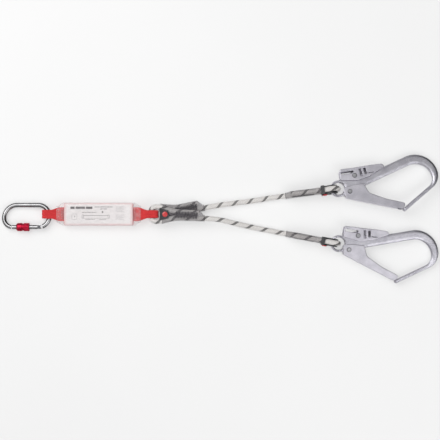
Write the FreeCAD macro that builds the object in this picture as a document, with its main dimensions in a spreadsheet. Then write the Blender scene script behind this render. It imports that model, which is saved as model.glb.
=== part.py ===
import FreeCAD, Part
import math
import os

import Sketcher

from FreeCAD import Placement, Rotation, Vector

# Twin-leg shock absorbing rope lanyard, laid out flat on a surface.
# Row frame: +X runs from the karabiner to the hooks, +Z is up, z = 0 is the
# surface, and the origin is under the middle of the energy absorber pack.
# All lengths are in millimetres and all angles in degrees.

SIZES = {
    # energy absorber pack
    "pack_length": 163,
    "pack_width": 51,
    "pack_thickness": 22,
    "pack_corner": 7,
    "cover_wall": 0.8,
    "label_wall": 0.5,
    "layer_gap": 0.3,
    "cover_lip": 8,
    "webbing_thickness": 2.2,
    "harness_loop_width": 19,
    "rope_loop_width": 17,
    "loop_root_width": 30,
    "karabiner_slack": 6.8,
    "harness_loop_past_bar": 30,
    "rope_loop_reach": 47.5,
    "bight_from_pack": 46,
    "karabiner_from_pack": 73.7,
    "stack_gap": 0.4,
    "loop_slack": 1.2,
    # karabiner
    "bar_diameter": 10,
    "karabiner_length": 108,
    "karabiner_height": 58,
    "karabiner_latch_radius": 20,
    "gate_diameter": 9,
    "gate_length": 59,
    "gate_bore": 5,
    "gate_fork_gap": 5.4,
    "tang_clearance": 0.2,
    "hinge_rivet_diameter": 4,
    "latch_pin_diameter": 3,
    "sleeve_diameter": 17.6,
    "sleeve_length": 27.5,
    "sleeve_clearance": 0.25,
    # rope and its sewn eyes
    "rope_diameter": 11,
    "strand_pitch": "=rope_diameter + 0.6",
    "strand_bend_radius": 40,
    "loop_eye_radius": 16,
    "hook_eye_radius": 13.8,
    "eye_taper": 16,
    "terminal_length": 101,
    "tail_length": 88,
    "spacer_length": 23,
    "loop_spacer_thickness": "=rope_diameter + 1.8",
    "hook_spacer_thickness": "=rope_diameter + 6",
    "thimble_hole_radius": 6.6,
    "spacer_rim": 4.2,
    "collar_wall": 1.5,
    "collar_length": 8,
    "button_diameter": 15,
    "button_dome": 2.4,
    "loop_button_dome": 1.2,
    "sleeve_wall": 0.8,
    "sleeve_gap": 0.55,
    "stitch_rows": 15,
    "stitching_start": 38,
    "stitching_end": 84,
    "stitching_width": 16,
    "stitch_width": 1.3,
    "stitch_height": 0.55,
    # scaffold hooks
    "hook_thickness": 12,
    "ring_thickness": 10,
    "ring_inner_radius": 12.9,
    "ring_outer_radius": 18,
    "ring_in_eye": 3.7,
    "hook_reach": 216,
    "spine_width": 20,
    "spine_angle": 9.5,
    "nose_angle": 25,
    "bow_outer_radius": 50,
    "bow_outer_toe": 34,
    "bow_inner_radius": 36,
    "bow_inner_toe": 22,
    "nose_length": 82,
    "bow_width": 15.3,
    "bow_edge_fillet": 3.6,
    "plate_thickness": 1.8,
    "plate_gap": 0.3,
    "plate_edge_fillet": 1.1,
    "hook_rivet_diameter": 7,
    "rivet_head_height": 1.4,
    "spring_wire": 1.6,
    "spring_turns": 3,
    "spring_slot": 7,
}

doc = FreeCAD.newDocument("ShockAbsorbingLanyard")
sheet = doc.addObject("Spreadsheet::Sheet", "Sizes")
for row, (alias, value) in enumerate(SIZES.items(), start=1):
    sheet.set(f"A{row}", alias)
    sheet.set(f"B{row}", str(value))
    sheet.setAlias(f"B{row}", alias)
doc.recompute()

SUB_PARTS = []


def size(alias):
    """A driving dimension, read from the sheet."""
    return float(sheet.get(alias))


def turn(axis, degrees):
    return Rotation(axis, degrees)


X_AXIS, Y_AXIS, Z_AXIS = Vector(1, 0, 0), Vector(0, 1, 0), Vector(0, 0, 1)


# ---------------------------------------------------------------- helpers


def new_body(label, placement):
    body = doc.addObject("PartDesign::Body", label)
    body.Label = label
    body.Placement = placement
    SUB_PARTS.append(body)
    return body


def new_feature(label, shape, placement):
    """A free-form sub-part whose shape comes from Part's own functions."""
    feature = doc.addObject("Part::Feature", label)
    feature.Label = label
    feature.Shape = shape
    feature.Placement = placement
    SUB_PARTS.append(feature)
    return feature


def new_sketch(body, name, role="XY_Plane", offset=0.0):
    sketch = body.newObject("Sketcher::SketchObject", f"{body.Label}_{name}")
    planes = [f for f in body.Origin.OriginFeatures if f.Role == role]
    sketch.AttachmentSupport = (planes[0], "")
    sketch.MapMode = "FlatFace"
    sketch.AttachmentOffset = Placement(Vector(0, 0, offset), Rotation())
    return sketch


def add_circle(sketch, x, y, diameter_cell):
    """A circle whose diameter is bound to a cell of the sheet."""
    radius = size(diameter_cell) / 2
    index = sketch.addGeometry(Part.Circle(Vector(x, y, 0), Z_AXIS, radius), False)
    rule = sketch.addConstraint(Sketcher.Constraint("Diameter", index, 2 * radius))
    sketch.setExpression(f"Constraints[{rule}]", f"Sizes.{diameter_cell}")


def add_outline(sketch, edges):
    for edge in edges:
        sketch.addGeometry(edge, False)


def pad(body, sketch, length, symmetric=True):
    """A pad whose length is an expression on the sheet."""
    feature = body.newObject("PartDesign::Pad", f"{sketch.Label}_pad")
    feature.Profile = sketch
    feature.SideType = "Symmetric" if symmetric else "One side"
    feature.setExpression("Length", length)
    return feature


def pocket(body, sketch, length, symmetric=True):
    """A pocket to both sides of its sketch, or upwards only."""
    feature = body.newObject("PartDesign::Pocket", f"{sketch.Label}_pocket")
    feature.Profile = sketch
    feature.SideType = "Symmetric" if symmetric else "One side"
    feature.Reversed = not symmetric
    feature.setExpression("Length", length)
    return feature


def revolve(body, sketch):
    """A full turn about the sketch's horizontal axis."""
    feature = body.newObject("PartDesign::Revolution", f"{sketch.Label}_turned")
    feature.Profile = sketch
    feature.ReferenceAxis = (sketch, ["H_Axis"])
    feature.Angle = 360
    return feature


def points(pairs):
    return [Vector(x, y, 0) for x, y in pairs]


def closed_lines(pairs):
    corners = points(pairs)
    return [
        Part.LineSegment(a, b)
        for a, b in zip(corners, corners[1:] + corners[:1])
    ]


def arc_about(centre, radius, start, end):
    """An arc from start to end degrees; a falling angle runs clockwise."""
    middle = (start + end) / 2
    spots = [
        Vector(
            centre.x + radius * math.cos(math.radians(a)),
            centre.y + radius * math.sin(math.radians(a)),
            0,
        )
        for a in (start, middle, end)
    ]
    return Part.Arc(*spots)


def rounded_outline(pairs, radii):
    """A closed outline of straight edges with each corner rounded."""
    corners = points(pairs)
    count = len(corners)
    starts, ends, mids = [], [], []
    for i, corner in enumerate(corners):
        back = (corners[i - 1] - corner).normalize()
        ahead = (corners[(i + 1) % count] - corner).normalize()
        half = back.getAngle(ahead) / 2
        cut = radii[i] / math.tan(half)
        bisector = (back + ahead).normalize()
        centre = corner + bisector * (radii[i] / math.sin(half))
        starts.append(corner + back * cut)
        ends.append(corner + ahead * cut)
        mids.append(centre - bisector * radii[i])
    edges = []
    for i in range(count):
        edges.append(Part.Arc(starts[i], mids[i], ends[i]))
        edges.append(Part.LineSegment(ends[i], starts[(i + 1) % count]))
    return edges


def rounded_route(stops, radii):
    """An open route: straight runs joined by tangent arcs at each stop."""
    edges, start = [], stops[0]
    for i in range(1, len(stops) - 1):
        back = (stops[i - 1] - stops[i]).normalize()
        ahead = (stops[i + 1] - stops[i]).normalize()
        half = back.getAngle(ahead) / 2
        cut = radii[i - 1] / math.tan(half)
        bisector = (back + ahead).normalize()
        centre = stops[i] + bisector * (radii[i - 1] / math.sin(half))
        enter, leave = stops[i] + back * cut, stops[i] + ahead * cut
        edges.append(Part.LineSegment(start, enter))
        edges.append(Part.Arc(enter, centre - bisector * radii[i - 1], leave))
        start = leave
    edges.append(Part.LineSegment(start, stops[-1]))
    return edges


def tube_along(edges, diameter):
    """A round solid swept along a route of tangent edges."""
    wire = Part.Wire([edge.toShape() for edge in edges])
    first = wire.OrderedEdges[0]
    heading = first.tangentAt(first.FirstParameter)
    circle = Part.Circle(first.valueAt(first.FirstParameter), heading, diameter / 2)
    section = Part.Wire([circle.toShape()])
    solid = wire.makePipeShell([section], True, False)
    expected = math.pi * (diameter / 2) ** 2 * wire.Length
    if abs(solid.Volume / expected - 1) > 0.02:
        raise RuntimeError("a swept tube has the wrong volume")
    return solid


def box_at(lengths, centre):
    x, y, z = lengths
    corner = Vector(centre.x - x / 2, centre.y - y / 2, centre.z - z / 2)
    return Part.makeBox(x, y, z, corner)


def edges_where(shape, test):
    """Names of the edges whose middle point passes a test."""
    names = []
    for number, edge in enumerate(shape.Edges, start=1):
        if test(edge):
            names.append(f"Edge{number}")
    return names


def fillet(body, base, radius, test):
    feature = body.newObject("PartDesign::Fillet", f"{base.Name}_fillet")
    doc.recompute()
    feature.Base = (base, edges_where(base.Shape, test))
    feature.setExpression("Radius", radius)
    return feature


# ------------------------------------------------- energy absorber pack

PACK_CENTRE = Vector(0, 0, size("pack_thickness") / 2)
PACK_END = size("pack_length") / 2


def flat_sleeve(label, length, width, thickness, wall, corner):
    """A hollow flattened sleeve, open at both ends, around the X axis."""
    body = new_body(label, Placement(PACK_CENTRE, Rotation()))
    sketch = new_sketch(body, "section", "YZ_Plane")
    add_outline(sketch, rounded_rectangle(width, thickness, corner))
    inner = corner - wall
    add_outline(
        sketch, rounded_rectangle(width - 2 * wall, thickness - 2 * wall, inner)
    )
    pad(body, sketch, length)
    return body


def rounded_rectangle(width, height, radius):
    w, h = width / 2, height / 2
    return rounded_outline([(-w, -h), (w, -h), (w, h), (-w, h)], [radius] * 4)


def absorber_pack():
    width, thickness = size("pack_width"), size("pack_thickness")
    cover_inset = 2 * size("cover_wall") + 2 * size("layer_gap")
    label_inset = cover_inset + 2 * size("label_wall") + 2 * size("layer_gap")
    corner = size("pack_corner")
    flat_sleeve(
        "clear_cover", "Sizes.pack_length", width, thickness, size("cover_wall"), corner
    )
    flat_sleeve(
        "instruction_label",
        "Sizes.pack_length - 2 * Sizes.cover_lip",
        width - cover_inset,
        thickness - cover_inset,
        size("label_wall"),
        corner - cover_inset / 2,
    )
    bundle = new_body("tear_webbing_pack", Placement(PACK_CENTRE, Rotation()))
    sketch = new_sketch(bundle, "section", "YZ_Plane")
    add_outline(
        sketch,
        rounded_rectangle(
            width - label_inset, thickness - label_inset, corner - label_inset / 2
        ),
    )
    pad(bundle, sketch, "Sizes.pack_length - 2 * Sizes.cover_lip")


def webbing_loop(label, side, reach, tip_width, inner_height, middle, crown):
    """A flat webbing band that leaves the bundle, folds round and comes back.

    side is +1 for the rope end and -1 for the harness end, reach is how far
    the outside of the fold lies from the middle of the pack, and crown is
    where the two plies stop spreading and run level.
    """
    band = size("webbing_thickness")
    root = size("pack_length") / 2 - size("cover_lip")
    inner_half = inner_height / 2
    fold = min(inner_half, 8.0)
    outer = loop_side(root, crown, reach, band + 0.1, middle, inner_half + band, fold + band)
    inner = loop_side(root, crown, reach - band, 0.1, middle, inner_half, fold)
    slab = Part.Face(Part.Wire(outer)).cut(Part.Face(Part.Wire(inner)))
    width = size("loop_root_width")
    solid = slab.Faces[0].extrude(Vector(0, width, 0))
    solid.translate(Vector(0, -width / 2, 0))
    solid = solid.common(loop_plan(root, crown, reach, width, tip_width))
    if side < 0:
        solid = solid.mirror(Vector(0, 0, 0), X_AXIS)
    return new_feature(label, solid, Placement(PACK_CENTRE, Rotation()))


def loop_side(root, crown, reach, half_root, middle, half, fold):
    """Side view of a loop: a wedge, a level crown and a rounded fold."""
    turn_x, high, low = reach - fold, middle + half, middle - half
    corner = fold * math.sqrt(0.5)
    stops = [
        Vector(root, 0, -half_root),
        Vector(root, 0, half_root),
        Vector(crown, 0, high),
        Vector(turn_x, 0, high),
        Vector(reach, 0, high - fold),
        Vector(reach, 0, low + fold),
        Vector(turn_x, 0, low),
        Vector(crown, 0, low),
    ]
    bends = {
        3: Vector(turn_x + corner, 0, high - fold + corner),
        5: Vector(turn_x + corner, 0, low + fold - corner),
    }
    edges = []
    for i, stop in enumerate(stops):
        after = stops[(i + 1) % len(stops)]
        if i in bends:
            edges.append(Part.Arc(stop, bends[i], after).toShape())
        elif (after - stop).Length > 0.01:
            edges.append(Part.LineSegment(stop, after).toShape())
    return edges


def loop_plan(root, crown, reach, root_width, tip_width):
    """Plan view of a loop: wide at the pack and gathered at the fold."""
    straight = root + size("cover_lip") + 3
    outline = [
        (root - 1, -root_width / 2),
        (straight, -root_width / 2),
        (crown, -tip_width / 2),
        (reach + 1, -tip_width / 2),
        (reach + 1, tip_width / 2),
        (crown, tip_width / 2),
        (straight, root_width / 2),
        (root - 1, root_width / 2),
    ]
    edges = [line.toShape() for line in closed_lines(outline)]
    prism = Part.Face(Part.Wire(edges)).extrude(Vector(0, 0, 80))
    prism.translate(Vector(0, 0, -40))
    return prism


def loop_stitching(label, side, crown, middle, inner_half):
    """Threads across both faces of a loop, where its plies leave the pack."""
    band = size("webbing_thickness")
    root = size("pack_length") / 2 - size("cover_lip")
    threads = []
    for face in (-1, 1):
        for row in range(3):
            x = 2.0 + 2.2 * row
            rise = (face * middle + inner_half) * x / (crown - root)
            z = face * (band + 0.4 + rise)
            start = Vector(side * (root + x), -11, z)
            threads.append(Part.makeCylinder(0.6, 22, start, Y_AXIS))
    new_feature(label, Part.makeCompound(threads), Placement(PACK_CENTRE, Rotation()))


# ------------------------------------------------------------ karabiner

# The karabiner lies tipped, because its screw sleeve is thicker than its bar.
KARABINER_PLACE = Placement(
    Vector(-PACK_END - size("karabiner_from_pack"), -4.3, size("bar_diameter") / 2 + 3.45),
    turn(Y_AXIS, -1.8).multiply(turn(X_AXIS, -4.5)),
)
GATE_Y = -23.5
RIVET_X = 27.0
LATCH_X = -37.0
NOSE_X = -33.0
GATE_START_X = -31.5
SLEEVE_START_X = -21.7
RIVET_CLEARANCE = 0.06


def karabiner_frame():
    """A bent round bar with a flat eye for the gate and a forked nose."""
    half_length = (size("karabiner_length") - size("bar_diameter")) / 2
    rise = (size("karabiner_height") - size("bar_diameter")) / 2
    latch = size("karabiner_latch_radius")
    broad = 2 * rise - latch
    hinge_centre = Vector(half_length - rise, 0, 0)
    broad_centre = Vector(broad - half_length, rise - broad, 0)
    latch_centre = Vector(latch - half_length, rise - broad, 0)
    nose_angle = -math.degrees(math.acos((NOSE_X - latch_centre.x) / latch))
    body = new_body("karabiner_frame", KARABINER_PLACE)
    path = new_sketch(body, "path")
    spine = Part.LineSegment(
        Vector(broad_centre.x, rise, 0), Vector(hinge_centre.x, rise, 0)
    )
    add_outline(
        path,
        [
            arc_about(hinge_centre, rise, -68, 90),
            spine,
            arc_about(broad_centre, broad, 90, 180),
            arc_about(latch_centre, latch, 180, 360 + nose_angle),
        ],
    )
    section = new_sketch(body, "section", "YZ_Plane", hinge_centre.x)
    add_circle(section, rise, 0, "bar_diameter")
    pipe = body.newObject("PartDesign::AdditivePipe", "karabiner_bar")
    pipe.Profile = section
    pipe.Spine = (path, ["Edge1", "Edge2", "Edge3", "Edge4"])
    tang = new_sketch(body, "tang")
    add_outline(tang, slot_outline(Vector(RIVET_X, GATE_Y, 0), Vector(35.5, -21, 0), 4.2))
    pad(body, tang, "Sizes.gate_fork_gap - 2 * Sizes.tang_clearance")
    slot = new_sketch(body, "nose_slot")
    corners = [(-42, -30), (-28, -30), (-28, -10), (-42, -10)]
    add_outline(slot, closed_lines(corners))
    pocket(body, slot, "Sizes.gate_fork_gap")
    holes = new_sketch(body, "pin_holes")
    add_circle(holes, RIVET_X, GATE_Y, "hinge_rivet_diameter")
    add_circle(holes, LATCH_X, GATE_Y, "latch_pin_diameter")
    pocket(body, holes, "3 * Sizes.bar_diameter")


def slot_outline(a, b, radius):
    """An outline with two round ends, centred on points a and b."""
    along = (b - a).normalize()
    across = Vector(-along.y, along.x, 0) * radius
    return [
        Part.LineSegment(a + across, b + across),
        Part.Arc(b + across, b + along * radius, b - across),
        Part.LineSegment(b - across, a - across),
        Part.Arc(a - across, a - along * radius, a + across),
    ]


def turned(label, profile, placement):
    """A body turned about its own X axis from a half profile."""
    body = new_body(label, placement)
    sketch = new_sketch(body, "profile")
    add_outline(sketch, closed_lines(profile))
    revolve(body, sketch)
    return body


def cross_pin(label, x, y, radius, half_length, head, place):
    """A riveted pin along the local Z axis with a low head at each end."""
    profile = [
        (-half_length - head, 0),
        (-half_length - head, radius * 1.15),
        (-half_length, radius * 1.5),
        (-half_length, radius),
        (half_length, radius),
        (half_length, radius * 1.5),
        (half_length + head, radius * 1.15),
        (half_length + head, 0),
    ]
    across = Placement(Vector(x, y, 0), turn(Y_AXIS, -90))
    return turned(label, profile, place.multiply(across))


def plain_pin(label, x, y, radius, half_length, place):
    profile = [
        (-half_length, 0),
        (-half_length, radius),
        (half_length, radius),
        (half_length, 0),
    ]
    across = Placement(Vector(x, y, 0), turn(Y_AXIS, -90))
    return turned(label, profile, place.multiply(across))


def karabiner_gate():
    """A round bar forked at the hinge, with a tongue that hooks the pin."""
    body = new_body("karabiner_gate", KARABINER_PLACE)
    bar = new_sketch(body, "bar", "YZ_Plane", GATE_START_X)
    add_circle(bar, GATE_Y, 0, "gate_diameter")
    pad(body, bar, "Sizes.gate_length + 4", symmetric=False)
    tongue = new_sketch(body, "tongue")
    low, high = GATE_Y - 3.6, GATE_Y + 3.6
    start = GATE_START_X + 1
    slit = size("latch_pin_diameter") / 2 + 0.25
    outline = [
        (start, low),
        (start, high),
        (LATCH_X - 3.2, high),
        (LATCH_X - 3.2, low),
        (LATCH_X - slit, low),
        (LATCH_X - slit, GATE_Y + slit),
        (LATCH_X + slit, GATE_Y + slit),
        (LATCH_X + slit, low),
    ]
    add_outline(tongue, closed_lines(outline))
    pad(body, tongue, "Sizes.gate_fork_gap - 2 * Sizes.tang_clearance")
    fork = new_sketch(body, "fork")
    corners = [(21.5, -32), (36, -32), (36, -15), (21.5, -15)]
    add_outline(fork, closed_lines(corners))
    pocket(body, fork, "Sizes.gate_fork_gap")
    eye = new_sketch(body, "rivet_eye")
    radius = size("hinge_rivet_diameter") / 2 + RIVET_CLEARANCE
    eye.addGeometry(Part.Circle(Vector(RIVET_X, GATE_Y, 0), Z_AXIS, radius), False)
    pocket(body, eye, "3 * Sizes.bar_diameter")
    bore = new_sketch(body, "spring_bore", "YZ_Plane", 10)
    add_circle(bore, GATE_Y, 0, "gate_bore")
    pocket(body, bore, "23")


def karabiner_plunger():
    """A small round-nosed plunger that the gate spring pushes on the tang."""
    radius = size("gate_bore") / 2 - 0.1
    profile = [(10, 0), (10, radius), (21.4, radius), (22.4, radius * 0.5), (22.4, 0)]
    place = KARABINER_PLACE.multiply(Placement(Vector(0, GATE_Y, 0), Rotation()))
    turned("karabiner_gate_plunger", profile, place)


def karabiner_spring():
    """A close-wound compression spring in the gate's bore."""
    wire = 0.5
    radius = size("gate_bore") / 2 - wire - 0.15
    coils = []
    for coil in range(11):
        centre = Vector(-0.7 + coil * 1.94 * wire, GATE_Y, 0)
        coils.append(Part.makeTorus(radius, wire, centre, X_AXIS))
    new_feature("karabiner_gate_spring", fused(coils), KARABINER_PLACE)


def fused(solids):
    whole = solids[0]
    for solid in solids[1:]:
        whole = whole.fuse(solid)
    return whole


def screw_sleeve():
    """A knurled locking sleeve with a waist groove and a notched end."""
    outer = size("sleeve_diameter") / 2
    bore = size("gate_diameter") / 2 + size("sleeve_clearance")
    mouth = size("bar_diameter") / 2 + 0.9
    x, length = SLEEVE_START_X, size("sleeve_length")
    body = new_body("screw_sleeve", sleeve_place())
    sketch = new_sketch(body, "profile")
    profile = [
        (x, mouth),
        (x, outer - 2),
        (x + 2.6, outer),
        (x + 12, outer),
        (x + 13, outer - 1.2),
        (x + 15, outer - 1.2),
        (x + 16, outer),
        (x + length, outer),
        (x + length, outer - 3.2),
        (x + length - 3.2, outer - 3.2),
        (x + length - 3.2, bore),
        (x + 4, bore),
        (x + 4, mouth),
    ]
    add_outline(sketch, closed_lines(profile))
    revolve(body, sketch)
    knurl = new_sketch(body, "flute", "YZ_Plane", x + length - 5)
    knurl.addGeometry(Part.Circle(Vector(0, outer + 0.55, 0), Z_AXIS, 1.1), False)
    flute = body.newObject("PartDesign::Pocket", "sleeve_flute")
    flute.Profile = knurl
    flute.SideType = "Symmetric"
    flute.Length = 16
    ring = body.newObject("PartDesign::PolarPattern", "sleeve_flutes")
    ring.Originals = [flute]
    ring.Axis = (sketch, ["H_Axis"])
    ring.Angle = 360
    ring.Occurrences = 18
    body.Tip = ring


def sleeve_place():
    return KARABINER_PLACE.multiply(Placement(Vector(0, GATE_Y, 0), Rotation()))


def sleeve_stop_ring():
    """The stop ring that carries the screw sleeve along the gate."""
    bore = size("gate_diameter") / 2 + size("sleeve_clearance")
    outer = size("sleeve_diameter") / 2 - 3.5
    end = SLEEVE_START_X + size("sleeve_length")
    profile = [(end - 2.9, bore), (end - 2.9, outer), (end - 0.6, outer), (end - 0.6, bore)]
    turned("sleeve_stop_ring", profile, sleeve_place())


# --------------------------------------------------- sewn rope terminals
# Each terminal has its own frame: the bight's centre is at the origin, the
# two strands run along +X, and the eye lies in the local XY plane. The
# loaded strand is the one at -Y.

HALF_PITCH = size("strand_pitch") / 2
ROPE_RADIUS = size("rope_diameter") / 2
TAPER = math.radians(size("eye_taper"))


def taper_line(radius, x):
    """Height at x of the tapered line that leaves a circle tangentially."""
    return (radius - x * math.sin(TAPER)) / math.cos(TAPER)


def taper_reach(radius, height):
    """Where that tapered line comes down to a height."""
    return (radius - height * math.cos(TAPER)) / math.sin(TAPER)


def eye_route(radius):
    """The rope's path: tail strand, round the bight, loaded strand."""
    bend = size("strand_bend_radius")
    corner = taper_reach(radius, HALF_PITCH)
    cut = bend * math.tan(TAPER / 2)
    flat = Vector(corner + cut, HALF_PITCH, 0)
    slant = Vector(
        corner - cut * math.cos(TAPER), HALF_PITCH + cut * math.sin(TAPER), 0
    )
    leave = Vector(radius * math.sin(TAPER), radius * math.cos(TAPER), 0)
    tail_end = Vector(size("tail_length"), HALF_PITCH, 0)
    load_end = Vector(size("terminal_length"), HALF_PITCH, 0)
    crown = bend_middle(flat, slant, Vector(corner, HALF_PITCH, 0), bend)
    upper = [
        Part.LineSegment(tail_end, flat),
        Part.Arc(flat, crown, slant),
        Part.LineSegment(slant, leave),
    ]
    lower = [
        Part.LineSegment(flip(leave), flip(slant)),
        Part.Arc(flip(slant), flip(crown), flip(flat)),
        Part.LineSegment(flip(flat), flip(load_end)),
    ]
    bight = [Part.Arc(leave, Vector(-radius, 0, 0), flip(leave))]
    return upper + bight + lower


def flip(point):
    return Vector(point.x, -point.y, point.z)


def bend_middle(enter, leave, corner, radius):
    """The middle of the arc that rounds a corner between two points."""
    back = (enter - corner).normalize()
    ahead = (leave - corner).normalize()
    bisector = (back + ahead).normalize()
    half = back.getAngle(ahead) / 2
    return corner + bisector * (radius / math.sin(half) - radius)


def eye_rope(label, radius, place):
    solid = tube_along(eye_route(radius), size("rope_diameter"))
    new_feature(label, solid, place)


def spacer_outline(radius, start, length):
    """A teardrop: round at the bight unless it starts flat, then a wedge."""
    tip = taper_line(radius, length)
    if start is not None:
        side = taper_line(radius, start)
        return closed_lines([(start, -side), (length, -tip), (length, tip), (start, side)])
    x, y = radius * math.sin(TAPER), radius * math.cos(TAPER)
    return [
        Part.LineSegment(Vector(x, -y, 0), Vector(length, -tip, 0)),
        Part.LineSegment(Vector(length, -tip, 0), Vector(length, tip, 0)),
        Part.LineSegment(Vector(length, tip, 0), Vector(x, y, 0)),
        Part.Arc(Vector(x, y, 0), Vector(-radius, 0, 0), Vector(x, -y, 0)),
    ]


def spacer(label, radius, start, thickness_cell, boss_height, button_side, place):
    """A black moulding between the strands, with a rim over the rope."""
    core = radius - ROPE_RADIUS - 0.3
    length = size("spacer_length")
    body = new_body(label, place)
    plate = new_sketch(body, "plate")
    add_outline(plate, spacer_outline(core + size("spacer_rim"), start, length))
    pad(body, plate, f"Sizes.{thickness_cell}")
    channel = new_sketch(body, "channel")
    add_outline(channel, closed_lines([(-60, -60), (60, -60), (60, 60), (-60, 60)]))
    add_outline(channel, spacer_outline(core, start, length))
    pocket(body, channel, "Sizes.rope_diameter + 0.6")
    if start is None:
        rope_collar(body, radius, core, thickness_cell)
        hole = new_sketch(body, "ring_hole")
        hole.addGeometry(
            Part.Circle(Vector(0, 0, 0), Z_AXIS, size("thimble_hole_radius")), False
        )
        pocket(body, hole, f"2 * Sizes.{thickness_cell}")
    face = button_side * size(thickness_cell) / 2
    boss = new_sketch(body, "button_boss", "XY_Plane", face - button_side * 0.3)
    add_circle(boss, BUTTON_X, 0, "button_diameter")
    ring = pad(body, boss, f"{boss_height + 0.3}", symmetric=False)
    ring.Reversed = button_side < 0


def rope_collar(body, radius, core, thickness_cell):
    """The band that closes the thimble's channel over both strands."""
    end = size("spacer_length")
    start = end - size("collar_length")
    bore = radius + ROPE_RADIUS + 0.3
    band = new_sketch(body, "collar")
    add_outline(band, spacer_outline(bore + size("collar_wall"), start, end))
    pad(body, band, f"Sizes.{thickness_cell}")
    strands = new_sketch(body, "collar_bores")
    for side in (-1, 1):
        outline = []
        for x, reach in ((start - 1, bore), (end + 1, bore), (end + 1, core), (start - 1, core)):
            outline.append((x, side * taper_line(reach, x)))
        add_outline(strands, closed_lines(outline))
    pocket(body, strands, "Sizes.rope_diameter + 0.6")


BUTTON_X = 15.5


def button(label, thickness_cell, dome_cell, boss_height, side, place):
    """A domed rivet cap on the spacer's boss."""
    base = size(thickness_cell) / 2 + boss_height
    radius = size("button_diameter") / 2 - 2
    dome = size(dome_cell)
    body = new_body(
        label,
        place.multiply(
            Placement(Vector(BUTTON_X, 0, side * base), turn(Y_AXIS, -90 * side))
        ),
    )
    sketch = new_sketch(body, "profile")
    rim, facets = dome / 3, 6
    profile = [(0, 0), (0, radius)]
    for facet in range(facets + 1):
        lean = math.pi / 2 * facet / facets
        height = rim + (dome - rim) * math.sin(lean)
        profile.append((height, radius * math.cos(lean) if facet < facets else 0))
    add_outline(sketch, closed_lines(profile))
    revolve(body, sketch)


def pouch_outline(radius, start, grow, overrun):
    """Plan of the clear sleeve: wide over the eye, cut short at the tail."""
    reach = ROPE_RADIUS + size("sleeve_gap") + grow
    side = HALF_PITCH + reach
    start = start - overrun
    neck = taper_reach(radius + reach, side)
    mouth = taper_line(radius + reach, start)
    tail = size("tail_length") + 2
    end = size("terminal_length") - 1 + overrun
    return closed_lines(
        [
            (start, -mouth),
            (neck, -side),
            (end, -side),
            (end, -HALF_PITCH + reach - 0.8),
            (tail, side),
            (neck, side),
            (start, mouth),
        ]
    )


def clear_sleeve(label, radius, start, place):
    """A translucent sleeve that wraps both strands and their stitching."""
    body = new_body(label, place)
    wall = size("sleeve_wall")
    outer = new_sketch(body, "outside")
    add_outline(outer, pouch_outline(radius, start, wall, 0))
    shell = "Sizes.rope_diameter + 2 * (Sizes.sleeve_gap + Sizes.stitch_height)"
    pad(body, outer, f"{shell} + 2 * Sizes.sleeve_wall")
    inner = new_sketch(body, "inside")
    add_outline(inner, pouch_outline(radius, start, 0, 3))
    pocket(body, inner, shell)
    if start < size("spacer_length"):
        window = new_sketch(body, "button_window")
        reach = size("button_diameter") / 2 + 0.4
        window.addGeometry(Part.Circle(Vector(BUTTON_X, 0, 0), Z_AXIS, reach), False)
        pocket(body, window, "3 * Sizes.rope_diameter")


def stitching(label, place):
    """Bars of thread across both strands, on each face of the rope."""
    first, last = size("stitching_start"), size("stitching_end")
    rows = int(size("stitch_rows"))
    level = ROPE_RADIUS + size("stitch_height") / 2 - 0.1
    bars = []
    for row in range(rows):
        x = first + (last - first) * row / (rows - 1)
        for face in (-1, 1):
            lengths = (size("stitch_width"), size("stitching_width"), size("stitch_height"))
            bars.append(box_at(lengths, Vector(x, 0, face * level)))
    new_feature(label, Part.makeCompound(bars), place)


def loop_end_terminal(name, side, place):
    """The sewn eye at the absorber's webbing loop."""
    radius, cell = size("loop_eye_radius"), "loop_spacer_thickness"
    eye_rope(f"{name}_rope", radius, place)
    spacer(f"{name}_spacer", radius, 4.0, cell, 0.3, side, place)
    button(f"{name}_button", cell, "loop_button_dome", 0.3, side, place)
    stitching(f"{name}_stitching", place)
    clear_sleeve(f"{name}_sleeve", radius, 10.0, place)


def hook_end_terminal(name, side, place):
    """The sewn eye at a hook's ring, lined with a thimble."""
    radius, cell = size("hook_eye_radius"), "hook_spacer_thickness"
    eye_rope(f"{name}_rope", radius, place)
    spacer(f"{name}_spacer", radius, None, cell, 0.8, side, place)
    button(f"{name}_button", cell, "button_dome", 0.8, side, place)
    stitching(f"{name}_stitching", place)
    clear_sleeve(f"{name}_sleeve", radius, size("spacer_length") + 0.6, place)


# ------------------------------------------------------- scaffold hooks
# Each hook has its own frame: the rope ring's centre is at the origin, the
# hook lies in the local XY plane, the spine runs along +X and the nose
# turns back on the -Y side.

GATE_PIVOT = Vector(21.3, -13.1, 0)
LEVER_PIVOT = Vector(40.6, 17.2, 0)


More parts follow.
